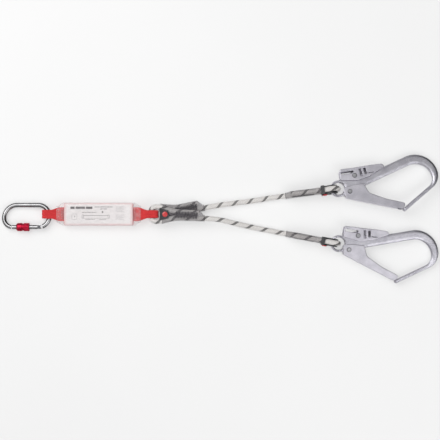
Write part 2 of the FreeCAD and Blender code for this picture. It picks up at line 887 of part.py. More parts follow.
def bow_edges():
    """Spine, bow and nose of the hook as one closed outline."""
    lean = math.radians(size("spine_angle"))
    normal = Vector(-math.sin(lean), math.cos(lean), 0)
    top_angle = 90 + size("spine_angle")
    toe_angle = size("nose_angle") - 90
    outer, toe = size("bow_outer_radius"), size("bow_outer_toe")
    inner, inner_toe = size("bow_inner_radius"), size("bow_inner_toe")
    reach, level = size("hook_reach"), -21.0
    outer_centre = Vector(reach - outer, level, 0)
    toe_centre = Vector(reach - toe, level, 0)
    inside = reach - size("bow_width")
    offset = outer_centre.dot(normal) + outer - inner - size("spine_width")
    inner_x = inside - inner
    inner_level = (offset - inner_x * normal.x) / normal.y
    inner_centre = Vector(inner_x, inner_level, 0)
    inner_toe_centre = Vector(inside - inner_toe, inner_level, 0)
    outer_top = arc_about(outer_centre, outer, top_angle, 0)
    outer_low = arc_about(toe_centre, toe, 0, toe_angle)
    inner_low = arc_about(inner_toe_centre, inner_toe, toe_angle, 0)
    inner_top = arc_about(inner_centre, inner, 0, top_angle)
    back = Vector(math.cos(lean), math.sin(lean), 0)
    root = 44.0
    top_start = outer_top.StartPoint
    low_start = inner_top.EndPoint
    top_root = top_start - back * ((top_start.x - root) / back.x)
    low_root = low_start - back * ((low_start.x - root) / back.x)
    nose = math.radians(180 + size("nose_angle"))
    ahead = Vector(math.cos(nose), math.sin(nose), 0)
    outer_tip = outer_low.EndPoint + ahead * (size("nose_length") - 3)
    inner_tip = inner_low.StartPoint + ahead * (
        (outer_tip - inner_low.StartPoint).dot(ahead) - 2
    )
    tip = (outer_tip + inner_tip) / 2 + ahead * 4.5
    return [
        Part.LineSegment(top_root, top_start),
        outer_top,
        outer_low,
        Part.LineSegment(outer_low.EndPoint, outer_tip),
        Part.Arc(outer_tip, tip, inner_tip),
        Part.LineSegment(inner_tip, inner_low.StartPoint),
        inner_low,
        inner_top,
        Part.LineSegment(low_start, low_root),
        Part.LineSegment(low_root, top_root),
    ]


def hook_body(label, place):
    """The forged hook: bow with rounded edges, hub, rope ring, slots."""
    body = new_body(label, place)
    bow = new_sketch(body, "bow")
    add_outline(bow, bow_edges())
    bow_pad = pad(body, bow, "Sizes.hook_thickness")
    is_rim = rim_test(size("hook_thickness") / 2)

    def is_long_rim(edge):
        return is_rim(edge) and edge.CenterOfMass.x > 60

    fillet(body, bow_pad, "Sizes.bow_edge_fillet", is_long_rim)
    hub = new_sketch(body, "hub")
    corners = [(3, -16), (12, -21), (30, -22.5), (62, -7), (62, 13), (43, 26.5), (27, 24), (3, 16)]
    add_outline(hub, rounded_outline(corners, [1, 5, 6, 4, 4, 6, 6, 1]))
    pad(body, hub, "Sizes.hook_thickness")
    opening = new_sketch(body, "ring_opening")
    opening.addGeometry(
        Part.Circle(Vector(0, 0, 0), Z_AXIS, size("ring_inner_radius") + 1.2), False
    )
    pocket(body, opening, "2 * Sizes.hook_thickness")
    hook_ring(body)
    spring_slots(body)
    holes = new_sketch(body, "rivet_holes")
    add_circle(holes, GATE_PIVOT.x, GATE_PIVOT.y, "hook_rivet_diameter")
    add_circle(holes, LEVER_PIVOT.x, LEVER_PIVOT.y, "hook_rivet_diameter")
    pocket(body, holes, "2 * Sizes.hook_thickness")


def hook_ring(body):
    """The rope ring: a rounded section turned about the local Z axis."""
    ring = new_sketch(body, "ring", "XZ_Plane")
    low, high = size("ring_inner_radius"), size("ring_outer_radius")
    half = size("ring_thickness") / 2
    outline = [(low, -half), (high, -half), (high, half), (low, half)]
    add_outline(ring, rounded_outline(outline, [2.3] * 4))
    turn_feature = body.newObject("PartDesign::Revolution", f"{ring.Label}_turned")
    turn_feature.Profile = ring
    turn_feature.ReferenceAxis = (ring, ["V_Axis"])
    turn_feature.Angle = 360


def spring_slots(body):
    """Slots inside the hub for the gate's and the lever's springs."""
    slots = new_sketch(body, "spring_slots")
    gate, lever = GATE_PIVOT, LEVER_PIVOT
    reach = 7.4
    add_outline(slots, slot_outline(gate, gate + Vector(2, -16, 0), reach))
    add_outline(slots, slot_outline(lever, lever + Vector(-1, 18, 0), reach))
    pocket(body, slots, "Sizes.spring_slot")


def rim_test(half):
    """A test for the edges around the two flat faces of a symmetric pad."""

    def is_rim(edge):
        middle = edge.valueAt((edge.FirstParameter + edge.LastParameter) / 2)
        return abs(abs(middle.z) - half) < 0.01

    return is_rim


def hook_gate(label, place):
    """A folded sheet gate: two cheeks joined by a web on the outer edge."""
    body = new_body(label, place)
    cheeks = new_sketch(body, "cheeks")
    corners = [
        (8.5, -2.5),
        (9.5, -23.5),
        (39.6, -39.5),
        (119, -80),
        (131, -70.5),
        (92, -50),
        (60, -27),
        (54.6, -4.5),
        (32, -1.5),
    ]
    add_outline(cheeks, rounded_outline(corners, [7, 4, 20, 4, 5, 40, 8, 3, 5]))
    outside = "Sizes.hook_thickness + 2 * (Sizes.plate_gap + Sizes.plate_thickness)"
    folded = pad(body, cheeks, outside)
    half = size("hook_thickness") / 2 + size("plate_gap") + size("plate_thickness")
    fillet(body, folded, "Sizes.plate_edge_fillet", rim_test(half))
    inside = new_sketch(body, "inside")
    web = size("plate_thickness")
    hollow = [
        (-10, 20),
        (-10, -13.4 + web),
        (39.6, -39.5 + 1.13 * web),
        (110, -75.5 + 1.13 * web),
        (110, -100),
        (150, -100),
        (150, 20),
    ]
    add_outline(inside, closed_lines(hollow))
    pocket(body, inside, "Sizes.hook_thickness + 2 * Sizes.plate_gap")
    pivot_hole(body, GATE_PIVOT)


def pivot_hole(body, pivot):
    """A running hole for a rivet."""
    hole = new_sketch(body, "pivot_hole")
    radius = size("hook_rivet_diameter") / 2 + 0.08
    hole.addGeometry(Part.Circle(pivot, Z_AXIS, radius), False)
    pocket(body, hole, "4 * Sizes.hook_thickness")


def hook_lever(label, place):
    """A folded sheet lever over the spine: two cheeks and a top web."""
    body = new_body(label, place)
    cheeks = new_sketch(body, "cheeks")
    corners = [
        (8.5, 15),
        (12, 38.3),
        (47, 33.7),
        (80, 30.2),
        (104, 26.2),
        (109, 19.5),
        (72, 7.5),
        (44, 5),
    ]
    add_outline(cheeks, rounded_outline(corners, [3, 6, 40, 40, 3, 3, 12, 9]))
    layers = "2 * Sizes.plate_gap + 2 * Sizes.plate_thickness"
    folded = pad(body, cheeks, f"Sizes.hook_thickness + 2 * ({layers})")
    half = size("hook_thickness") / 2 + 2 * (size("plate_gap") + size("plate_thickness"))
    fillet(body, folded, "Sizes.plate_edge_fillet", rim_test(half))
    inside = new_sketch(body, "inside")
    web = size("plate_thickness")
    hollow = [
        (-10, -20),
        (-10, 41.2 - web),
        (47, 33.7 - web),
        (80, 30.2 - web),
        (93, 28 - web),
        (93, 50),
        (130, 50),
        (130, -20),
    ]
    add_outline(inside, closed_lines(hollow))
    inner_layers = "2 * Sizes.plate_gap + Sizes.plate_thickness"
    pocket(body, inside, f"Sizes.hook_thickness + 2 * ({inner_layers})")
    finger_slot = new_sketch(body, "finger_slot")
    add_outline(finger_slot, slot_outline(Vector(15.8, 29, 0), Vector(38, 25.6, 0), 3))
    pocket(body, finger_slot, "4 * Sizes.hook_thickness")
    windows = new_sketch(body, "windows")
    for x, low, high in ((55.3, 11, 28.5), (65, 13.5, 27.5)):
        left, right = x - 2.6, x + 2.6
        box = [(left, low), (right, low), (right, high), (left, high)]
        add_outline(windows, rounded_outline(box, [1] * 4))
    add_outline(windows, slot_outline(Vector(70, 14.6, 0), Vector(82, 13.6, 0), 0.7))
    pocket(body, windows, "2 * Sizes.hook_thickness", symmetric=False)
    pivot_hole(body, LEVER_PIVOT)


def torsion_spring(label, pivot, leg_angle, place):
    """A close-wound torsion spring on a rivet, with one leg outwards."""
    wire = size("spring_wire") / 2
    radius = size("hook_rivet_diameter") / 2 + wire + 0.3
    turns = int(size("spring_turns"))
    coils = []
    for coil in range(turns):
        z = (coil - (turns - 1) / 2) * 1.9 * wire
        coils.append(Part.makeTorus(radius, wire, pivot + Vector(0, 0, z), Z_AXIS))
    along = Vector(math.cos(leg_angle), math.sin(leg_angle), 0)
    across = Vector(-along.y, along.x, 0) * radius
    foot = pivot + across - along + Vector(0, 0, (turns - 1) * 0.95 * wire)
    coils.append(Part.makeCylinder(0.9 * wire, 10, foot, along))
    new_feature(label, fused(coils), place)


def scaffold_hook(side, place):
    """One hook with its gate, lever, rivets and springs."""
    hook_body(f"{side}_hook_body", place)
    hook_gate(f"{side}_hook_gate", place)
    hook_lever(f"{side}_hook_lever", place)
    radius = size("hook_rivet_diameter") / 2
    half = size("hook_thickness") / 2
    layer = size("plate_gap") + size("plate_thickness")
    head = size("rivet_head_height")
    gate, lever = GATE_PIVOT, LEVER_PIVOT
    cross_pin(f"{side}_gate_rivet", gate.x, gate.y, radius, half + layer + 0.1, head, place)
    lever_half = half + 2 * layer + 0.1
    cross_pin(f"{side}_lever_rivet", lever.x, lever.y, radius, lever_half, head, place)
    torsion_spring(f"{side}_gate_spring", gate, math.radians(-88), place)
    torsion_spring(f"{side}_lever_spring", lever, math.radians(93), place)


# ---------------------------------------------------------- both rope legs

# The two sewn eyes lie one over the other in the webbing loop.
SLEEVE_HALF = ROPE_RADIUS + size("sleeve_gap") + size("stitch_height") + size("sleeve_wall")
LOOP_BOTTOM = size("webbing_thickness") + 0.3
LOW_BIGHT = LOOP_BOTTOM + size("loop_slack") + ROPE_RADIUS
HIGH_BIGHT = LOW_BIGHT + 2 * SLEEVE_HALF + size("stack_gap")
BIGHT_X = PACK_END + size("bight_from_pack")

RIG = {
    # side: bight at the loop and its yaw, ring centre, the hook's yaw and
    # roll, how far its nose stays off the surface, the rope's yaw at the
    # ring, and the free rope's own stops
    "left": {
        "bight": Vector(BIGHT_X, 0.2, LOW_BIGHT),
        "bight_yaw": 11,
        "button_side": -1,
        "ring": Vector(PACK_END + 432.8, 54.2, 21),
        "hook_yaw": 15.5,
        "hook_roll": -10,
        "nose_rise": 3.7,
        "rope_yaw": 7,
        "stops": [Vector(PACK_END + 210.5, 23.9, 6.9), Vector(PACK_END + 249.5, 28.4, 6)],
    },
    "right": {
        "bight": Vector(BIGHT_X, 0.2, HIGH_BIGHT),
        "bight_yaw": -2,
        "button_side": 1,
        "ring": Vector(PACK_END + 433.4, -63.0, 21),
        "hook_yaw": 0,
        "hook_roll": 0,
        "nose_rise": 0.7,
        "rope_yaw": -10.5,
        "stops": [Vector(PACK_END + 207.5, -19, 15), Vector(PACK_END + 252.5, -29, 7)],
    },
}
ROPE_PITCH = 4.1
FIRST_RUN = 27.0
LAST_RUN = 27.0


def hook_place(rig):
    drop = rig["ring"].z - size("hook_thickness") / 2 - rig["nose_rise"]
    pitch = math.degrees(math.asin(drop / size("hook_reach")))
    turned_flat = turn(Z_AXIS, rig["hook_yaw"])
    pitched = turned_flat.multiply(turn(Y_AXIS, pitch))
    return Placement(rig["ring"], pitched.multiply(turn(X_AXIS, rig["hook_roll"])))


def hook_end_place(rig):
    """The terminal at a hook stands on edge and points back to the pack."""
    yaw = math.radians(rig["rope_yaw"])
    ahead = Vector(math.cos(yaw), math.sin(yaw), 0)
    centre = rig["ring"] - ahead * (size("ring_outer_radius") - size("ring_in_eye"))
    facing = turn(Z_AXIS, rig["rope_yaw"] + 180).multiply(turn(Y_AXIS, ROPE_PITCH))
    return Placement(centre, facing.multiply(turn(X_AXIS, 90 - rig["hook_roll"])))


def loop_end_place(rig):
    return Placement(rig["bight"], turn(Z_AXIS, rig["bight_yaw"]))


def rope_arm(side, rig):
    """The free rope between the two terminals of one leg."""
    load_end = Vector(size("terminal_length"), -HALF_PITCH, 0)
    near, far = loop_end_place(rig), hook_end_place(rig)
    start, end = near.multVec(load_end), far.multVec(load_end)
    leave = near.Rotation.multVec(X_AXIS)
    arrive = far.Rotation.multVec(X_AXIS)
    stops = [start, start + leave * FIRST_RUN] + rig["stops"]
    stops += [end + arrive * LAST_RUN, end]
    radii = []
    for before, here, after in zip(stops, stops[1:], stops[2:]):
        turn_angle = (here - before).getAngle(after - here)
        run = min((here - before).Length, (after - here).Length)
        radii.append(0.45 * run / math.tan(turn_angle / 2))
    print(side, "rope arm radii", [round(r) for r in radii])
    print(side, "rope arm stops", [tuple(round(c, 2) for c in s) for s in stops])
    edges = rounded_route(stops, radii)
    solid = tube_along(edges, size("rope_diameter"))
    print(side, "rope arm length", round(sum(e.toShape().Length for e in edges), 1))
    new_feature(f"{side}_rope_arm", solid, Placement())


def rope_leg(side, rig):
    near, far = loop_end_place(rig), hook_end_place(rig)
    loop_end_terminal(f"{side}_loop_eye", rig["button_side"], near)
    hook_end_terminal(f"{side}_hook_eye", -1, far)
    rope_arm(side, rig)


# ------------------------------------------------------------- assembly


def webbing_loops():
    """Both loops of the absorber, each with its stitching."""
    inner_height = HIGH_BIGHT - LOW_BIGHT + 2 * (ROPE_RADIUS + size("loop_slack"))
    middle = (HIGH_BIGHT + LOW_BIGHT) / 2 - PACK_CENTRE.z
    crown = BIGHT_X - size("loop_eye_radius") - ROPE_RADIUS - 1
    reach, width = PACK_END + size("rope_loop_reach"), size("rope_loop_width")
    webbing_loop("rope_loop", 1, reach, width, inner_height, middle, crown)
    loop_stitching("rope_loop_stitching", 1, crown, middle, inner_height / 2)
    inner_height = size("bar_diameter") + size("karabiner_slack")
    bar = KARABINER_PLACE.multVec(Vector(size("karabiner_length") / 2, 0, 0))
    middle = max(bar.z, inner_height / 2 + LOOP_BOTTOM) - PACK_CENTRE.z
    crown = -bar.x - 1
    reach = PACK_END + size("harness_loop_past_bar") + size("bar_diameter")
    width = size("harness_loop_width")
    webbing_loop("harness_loop", -1, reach, width, inner_height, middle, crown)
    loop_stitching("harness_loop_stitching", -1, crown, middle, inner_height / 2)


def karabiner():
    karabiner_frame()
    radius = size("hinge_rivet_diameter") / 2
    half = size("gate_diameter") / 2
    place = KARABINER_PLACE
    cross_pin("karabiner_hinge_rivet", RIVET_X, GATE_Y, radius, half, 0.8, place)
    radius = size("latch_pin_diameter") / 2
    half = size("bar_diameter") / 2 - 0.2
    plain_pin("karabiner_latch_pin", LATCH_X, GATE_Y, radius, half, place)
    karabiner_gate()
    karabiner_plunger()
    karabiner_spring()
    screw_sleeve()
    sleeve_stop_ring()


def build():
    absorber_pack()
    webbing_loops()
    karabiner()
    for side, rig in RIG.items():
        rope_leg(side, rig)
        scaffold_hook(side, hook_place(rig))


def check_document():
    """Stop before writing anything if an object failed or has no shape."""
    for item in doc.Objects:
        if {"Invalid", "Error"} & set(item.State):
            raise RuntimeError(f"{item.Label} failed: {item.State}")
    for part in SUB_PARTS:
        if part.Shape.isNull() or not part.Shape.isValid():
            raise RuntimeError(f"{part.Label} has no valid shape")


build()
doc.recompute()
check_document()
os.makedirs("parts", exist_ok=True)
for part in SUB_PARTS:
    part.Shape.exportStep(f"parts/{part.Label}.step")
print(len(SUB_PARTS), "sub-parts written")
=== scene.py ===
import math
import random

import bpy
import numpy as np
from mathutils import Matrix, Vector


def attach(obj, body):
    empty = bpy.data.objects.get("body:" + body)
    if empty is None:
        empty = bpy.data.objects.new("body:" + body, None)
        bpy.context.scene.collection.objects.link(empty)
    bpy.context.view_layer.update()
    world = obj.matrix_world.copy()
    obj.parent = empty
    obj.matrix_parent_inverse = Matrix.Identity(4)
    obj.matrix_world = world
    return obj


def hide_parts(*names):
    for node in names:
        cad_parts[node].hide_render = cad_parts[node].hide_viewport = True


# Twin-leg shock absorbing lanyard. Lengths are in millimetres inside the
# builders and become metres where a mesh is made.

MM = 0.001
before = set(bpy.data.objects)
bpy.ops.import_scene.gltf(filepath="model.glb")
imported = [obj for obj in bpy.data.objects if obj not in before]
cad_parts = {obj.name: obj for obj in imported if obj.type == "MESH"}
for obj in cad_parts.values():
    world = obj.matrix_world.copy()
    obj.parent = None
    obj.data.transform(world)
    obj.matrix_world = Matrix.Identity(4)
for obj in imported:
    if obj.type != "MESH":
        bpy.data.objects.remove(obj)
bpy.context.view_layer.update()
SIDES = ("left", "right")
chance = random.Random(7)


# ---------------------------------------------------------------- camera


def add_camera():
    """Straight above the lanyard, with a long lens."""
    seen_width, height, sensor = 0.946, 3.0, 36.0
    middle_height = 0.012
    data = bpy.data.cameras.new("camera")
    data.sensor_width = sensor
    data.lens = sensor * (height - middle_height) / seen_width
    camera = bpy.data.objects.new("camera", data)
    camera.location = (0.2606, -0.0125, height)
    bpy.context.collection.objects.link(camera)
    bpy.context.scene.camera = camera


# --------------------------------------------------------- shader helper


class Shader:
    """A material around one Principled BSDF, built node by node."""

    def __init__(self, name, **values):
        self.material = bpy.data.materials.new(name)
        self.material.use_nodes = True
        self.tree = self.material.node_tree
        self.surface = self.tree.nodes["Principled BSDF"]
        for socket, value in values.items():
            self.set(socket.replace("_", " "), value)

    def set(self, socket, value):
        self.feed(self.surface.inputs[socket], value)

    def feed(self, socket, value):
        if isinstance(value, bpy.types.NodeSocket):
            self.tree.links.new(value, socket)
        else:
            socket.default_value = value

    def add(self, kind, inputs=(), **settings):
        node = self.tree.nodes.new(kind)
        for name, value in settings.items():
            setattr(node, name, value)
        for key, value in dict(inputs).items():
            self.feed(node.inputs[key], value)
        return node

    def maths(self, operation, a, b=0.0):
        return self.add("ShaderNodeMath", {0: a, 1: b}, operation=operation).outputs[0]

    def place(self, scale=(1, 1, 1), source="Object", turn=(0, 0, 0)):
        """Coordinates in metres, stretched by scale."""
        spot = self.add("ShaderNodeTexCoord").outputs[source]
        inputs = {"Vector": spot, "Scale": scale, "Rotation": turn}
        return self.add("ShaderNodeMapping", inputs).outputs[0]

    def noise(self, where, scale, detail, roughness=0.55):
        inputs = {
            "Vector": where,
            "Scale": scale,
            "Detail": detail,
            "Roughness": roughness,
        }
        return self.add("ShaderNodeTexNoise", inputs).outputs["Fac"]

    def ramp(self, factor, stops):
        """A colour ramp from (position, colour) pairs."""
        node = self.add("ShaderNodeValToRGB", {"Fac": factor})
        band = node.color_ramp
        while len(band.elements) < len(stops):
            band.elements.new(0.5)
        for element, (position, colour) in zip(band.elements, stops):
            element.position = position
            element.color = (*colour, 1.0)
        return node.outputs["Color"]

    def span(self, factor, low, high, source=(0.0, 1.0)):
        inputs = {
            "Value": factor,
            "From Min": source[0],
            "From Max": source[1],
            "To Min": low,
            "To Max": high,
        }
        return self.add("ShaderNodeMapRange", inputs).outputs[0]

    def mix(self, factor, a, b, blend="MIX"):
        node = self.add("ShaderNodeMix", data_type="RGBA", blend_type=blend)
        self.feed(node.inputs["Factor"], factor)
        self.feed(node.inputs["A"], a if not isinstance(a, tuple) else (*a, 1.0))
        self.feed(node.inputs["B"], b if not isinstance(b, tuple) else (*b, 1.0))
        return node.outputs["Result"]

    def bump(self, height, distance, strength=1.0, normal=None):
        inputs = {"Height": height, "Distance": distance, "Strength": strength}
        if normal is not None:
            inputs["Normal"] = normal
        return self.add("ShaderNodeBump", inputs).outputs[0]


# -------------------------------------------------------------- materials


EVEN_GRAIN = (60, 60, 60)
DRAWN_GRAIN = (60, 160, 60)
SCRATCH_DEPTH = 0.00002


def steel(name, dark, light, rough, grain=EVEN_GRAIN, arris=0.0):
    """Plated steel: cloudy zinc tone, fine scratches and rubbed patches.
    With an arris the sharp edges catch the light as if worn to that radius."""
    s = Shader(name, Metallic=1.0)
    cloud = s.noise(s.place(), 45, 5)
    speck = s.noise(s.place(), 900, 2)
    tone = s.ramp(cloud, [(0.3, dark), (0.7, light)])
    shade = s.ramp(speck, [(0.3, (0.86, 0.86, 0.86)), (0.6, (1, 1, 1))])
    s.set("Base Color", s.mix(1.0, tone, shade, "MULTIPLY"))
    rub = s.noise(s.place(grain), 30, 6, 0.65)
    s.set("Roughness", s.span(rub, rough[0], rough[1], (0.3, 0.7)))
    worn = None
    if arris:
        worn = s.add("ShaderNodeBevel", {"Radius": arris}, samples=4).outputs[0]
    scratches = s.noise(s.place(grain), 60, 3)
    s.set("Normal", s.bump(scratches, SCRATCH_DEPTH, 1.0, worn))
    return s.material


def anodised():
    """Crimson anodised aluminium with rubbed ridges."""
    s = Shader("crimson_sleeve", Metallic=0.8)
    cloud = s.noise(s.place(), 260, 4)
    tone = s.ramp(cloud, [(0.3, (0.30, 0.004, 0.022)), (0.75, (0.52, 0.012, 0.045))])
    s.set("Base Color", tone)
    s.set("Roughness", s.span(s.noise(s.place(), 700, 3), 0.28, 0.5, (0.3, 0.7)))
    s.set("Normal", s.bump(s.noise(s.place(), 1500, 2), 0.00003))
    return s.material


def moulded(name, dark, light, rough, coat=0.0):
    """Moulded plastic or rubber with a fine eroded grain."""
    s = Shader(name, Coat_Weight=coat, Coat_Roughness=0.12)
    cloud = s.noise(s.place(), 120, 4)
    s.set("Base Color", s.ramp(cloud, [(0.35, dark), (0.7, light)]))
    s.set("Roughness", s.span(s.noise(s.place(), 500, 3), *rough, (0.3, 0.7)))
    s.set("Normal", s.bump(s.noise(s.place(), 2600, 2), 0.00004))
    return s.material


BRAID_STRANDS = 14
TRACER_STRANDS = 3
BRAID_PITCH = 33.0


def rope_material():
    """A white braided sheath with three dark tracer strands side by side, and painted shade
    that darkens the gaps between its strands.
    """
    s = Shader("rope_sheath", Roughness=0.82, Sheen_Weight=0.25, Sheen_Roughness=0.5)
    flat = s.add("ShaderNodeSeparateXYZ", {0: s.place(source="UV")})
    turn, advance = flat.outputs[0], flat.outputs[1]
    a = s.maths("MULTIPLY", s.maths("ADD", turn, advance), BRAID_STRANDS)
    b = s.maths("MULTIPLY", s.maths("SUBTRACT", turn, advance), BRAID_STRANDS)
    whole_a, whole_b = s.maths("FLOOR", a), s.maths("FLOOR", b)
    parity = s.maths("FLOORED_MODULO", s.maths("ADD", whole_a, whole_b), 2.0)
    over = s.maths("LESS_THAN", parity, 0.5)
    strand = s.maths("FLOORED_MODULO", whole_a, BRAID_STRANDS)
    shown = s.span(over, 0.5, 1.0)
    dark = s.maths("LESS_THAN", strand, TRACER_STRANDS - 0.5)
    tracer = s.maths("MULTIPLY", dark, shown)
    ridge_a = s.maths("SINE", s.maths("MULTIPLY", s.maths("FRACT", a), math.pi))
    ridge_b = s.maths("SINE", s.maths("MULTIPLY", s.maths("FRACT", b), math.pi))
    ridge = s.maths("MULTIPLY", ridge_a, ridge_b)
    yarn = s.noise(s.place((900, 900, 900)), 1.0, 3)
    # painted shade: the white darkens to grey in the gaps between the strands
    white = s.ramp(ridge, [(0.0, (0.40, 0.37, 0.36)), (0.35, (0.90, 0.88, 0.86))])
    fibre = s.ramp(yarn, [(0.3, (0.88, 0.87, 0.86)), (0.65, (1, 1, 1))])
    white = s.mix(1.0, white, fibre, "MULTIPLY")
    black = s.ramp(yarn, [(0.3, (0.004, 0.004, 0.005)), (0.7, (0.012, 0.012, 0.014))])
    s.set("Base Color", s.mix(tracer, white, black))
    fine = s.noise(s.place((2500, 2500, 2500)), 1.0, 3)
    deep = s.bump(ridge, 0.00018)
    s.set("Normal", s.bump(fine, 0.00008, 0.7, deep))
    return s.material


RIB_PITCH = 0.0019
TWILL_PITCH = 0.0011
LABEL_THREAD_PITCH = 0.0009


def webbing_material(name, dark, light, soil):
    """Polyester webbing: ribs lengthwise, crossed by a fine chevron twill, with painted shade
    in the low grooves of the weave.
    """
    s = Shader(name, Roughness=0.72, Sheen_Weight=0.35, Sheen_Roughness=0.4)
    uv = s.add("ShaderNodeSeparateXYZ", {0: s.place(source="UV")})
    across, along = uv.outputs[0], uv.outputs[1]
    rib = s.maths("SINE", s.maths("MULTIPLY", across, 2 * math.pi / RIB_PITCH))
    slant = s.maths("ADD", along, s.maths("PINGPONG", across, RIB_PITCH))
    twill = s.maths("SINE", s.maths("MULTIPLY", slant, 2 * math.pi / TWILL_PITCH))
    rib_height = s.span(rib, 0.4, 1.0, (-1, 1))
    twill_height = s.span(twill, 0.3, 1.0, (-1, 1))
    weave = s.maths("MULTIPLY", rib_height, twill_height)
    # painted shade: the red is darker where the weave dips
    tone = s.ramp(weave, [(0.15, dark), (0.8, light)])
    cloud = s.noise(s.place(), 60, 4)
    worn = s.ramp(cloud, [(0.35, soil), (0.6, (1, 1, 1))])
    s.set("Base Color", s.mix(1.0, tone, worn, "MULTIPLY"))
    fuzz = s.noise(s.place(), 3500, 2)
    s.set("Normal", s.bump(fuzz, 0.00006, 0.6, s.bump(weave, 0.00022)))
    return s.material


def thread_material(name, dark, light):
    """Bonded polyester thread with a slanted twist, and painted shade in the grooves of the
    twist.
    """
    s = Shader(name, Roughness=0.55, Sheen_Weight=0.2)
    twist = s.add(
        "ShaderNodeTexWave",
        {"Vector": s.place(source="UV", turn=(0, 0, 0.7)), "Scale": 4.0, "Distortion": 0.6},
    ).outputs["Fac"]
    # painted shade: the colour darkens in the grooves of the twist
    s.set("Base Color", s.ramp(twist, [(0.2, dark), (0.8, light)]))
    s.set("Normal", s.bump(twist, 0.00012))
    return s.material


def film_material(name, dark, light, alpha, rough):
    """Flexible clear film, cloudy where it is creased or handled."""
    s = Shader(name, Coat_Weight=0.5, Coat_Roughness=0.08, IOR=1.48)
    cloud = s.noise(s.place((1, 2.2, 2.2)), 70, 5)
    s.set("Base Color", s.ramp(cloud, [(0.35, dark), (0.7, light)]))
    s.set("Alpha", s.span(cloud, alpha[0], alpha[1], (0.35, 0.7)))
    s.set("Roughness", s.span(s.noise(s.place(), 240, 3), rough[0], rough[1], (0.3, 0.7)))
    crease = s.noise(s.place((0.3, 1, 1)), 90, 2)
    s.set("Normal", s.bump(crease, 0.0004, 0.35))
    return s.material


def label_material():
    """Matt white coated fabric with a fine plain weave. The red webbing
    glows through it along its folded sides and its ends."""
    s = Shader("label_fabric", Roughness=0.62)
    cloud = s.noise(s.place(), 25, 3)
    white = s.ramp(cloud, [(0.3, (0.82, 0.79, 0.79)), (0.7, (0.90, 0.88, 0.88))])
    spot = s.add("ShaderNodeSeparateXYZ", {0: s.place()})
    side = s.span(s.maths("ABSOLUTE", spot.outputs[1]), 0, 0.6, (0.0185, 0.0245))
    end = s.span(s.maths("ABSOLUTE", spot.outputs[0]), 0, 0.75, (0.067, 0.0745))
    patchy = s.span(cloud, 0.6, 1.2, (0.3, 0.7))
    rim = s.maths("MULTIPLY", s.maths("MAXIMUM", side, end), patchy)
    s.set("Base Color", s.mix(rim, white, (0.83, 0.42, 0.42)))
    uv = s.add("ShaderNodeSeparateXYZ", {0: s.place(source="UV")})
    turns = 2 * math.pi / LABEL_THREAD_PITCH
    warp = s.maths("SINE", s.maths("MULTIPLY", uv.outputs[0], turns))
    weft = s.maths("SINE", s.maths("MULTIPLY", uv.outputs[1], turns))
    s.set("Normal", s.bump(s.maths("MULTIPLY", warp, weft), 0.00005))
    return s.material


def ink_material(name, dark, light):
    """Screen print that thins out a little in patches."""
    s = Shader(name, Roughness=0.5)
    fade = s.noise(s.place(), 900, 3)
    s.set("Base Color", s.ramp(fade, [(0.35, dark), (0.7, light)]))
    s.set("Normal", s.bump(fade, 0.00002))
    return s.material


ZINC = steel("zinc_steel", (0.20, 0.20, 0.205), (0.36, 0.355, 0.36), (0.14, 0.27))
# painted shade: near black steel on the karabiner's hinge rivet and latch pin stands for the
# shadows at the gate's ends
PIN_PAINTED_SHADE = steel("pin_painted_shade", (0.05, 0.05, 0.055), (0.13, 0.13, 0.14), (0.3, 0.5))
RIVET = steel("rivet_steel", (0.30, 0.30, 0.31), (0.48, 0.48, 0.50), (0.2, 0.34))
SPRING = steel("spring_steel", (0.30, 0.30, 0.32), (0.5, 0.5, 0.52), (0.25, 0.4))
FORGED = steel(
    "forged_hook", (0.46, 0.45, 0.50), (0.62, 0.61, 0.66), (0.16, 0.3), arris=0.007
)
SHEET = steel(
    "pressed_sheet",
    (0.50, 0.49, 0.54),
    (0.66, 0.64, 0.70),
    (0.28, 0.42),
    DRAWN_GRAIN,
    arris=0.0012,
)
CRIMSON = anodised()
RUBBER = moulded(
    "black_moulding", (0.010, 0.010, 0.012), (0.028, 0.028, 0.032), (0.35, 0.6)
)
RED_CAP = moulded("red_cap", (0.50, 0.012, 0.018), (0.68, 0.03, 0.03), (0.18, 0.3), 0.6)
ROPE = rope_material()
# the darker red here is painted shade for the grooves of the weave
WEBBING = webbing_material(
    "red_webbing", (0.5, 0.012, 0.016), (0.93, 0.045, 0.05), (0.88, 0.8, 0.8)
)
# each thread's darker colour is painted shade in its twist
BLACK_THREAD = thread_material("black_thread", (0.006, 0.006, 0.007), (0.03, 0.03, 0.033))
RED_THREAD = thread_material("red_thread", (0.22, 0.008, 0.012), (0.42, 0.02, 0.025))
SMOKY_FILM = film_material(
    "smoky_film", (0.11, 0.095, 0.11), (0.19, 0.17, 0.19), (0.3, 0.42), (0.12, 0.26)
)
CLEAR_FILM = film_material(
    "clear_film", (0.80, 0.72, 0.72), (0.88, 0.84, 0.84), (0.12, 0.24), (0.1, 0.24)
)
LABEL = label_material()
DARK_INK = ink_material("dark_ink", (0.035, 0.03, 0.035), (0.12, 0.11, 0.12))
PALE_INK = ink_material("pale_ink", (0.42, 0.41, 0.42), (0.6, 0.58, 0.59))

# The finish of each CAD node, by the end of its name.
CAD_FINISHES = {
    "karabiner_frame": ZINC,
    # the hinge rivet and latch pin carry painted shade
    "karabiner_hinge_rivet": PIN_PAINTED_SHADE,
    "karabiner_latch_pin": PIN_PAINTED_SHADE,
    "karabiner_gate": ZINC,
    "karabiner_gate_plunger": SPRING,
    "karabiner_gate_spring": SPRING,
    "screw_sleeve": CRIMSON,
    "sleeve_stop_ring": ZINC,
    "eye_spacer": RUBBER,
    "eye_button": RED_CAP,
    "hook_body": FORGED,
    "hook_gate": SHEET,
    "hook_lever": SHEET,
    "gate_rivet": RIVET,
    "lever_rivet": RIVET,
    "gate_spring": SPRING,
    "lever_spring": SPRING,
}


def finish_cad_nodes():
    for name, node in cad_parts.items():
        for ending, finish in CAD_FINISHES.items():
            if name.endswith(ending):
                for slot in node.material_slots:
                    slot.material = finish


# ----------------------------------------------------------- mesh helpers


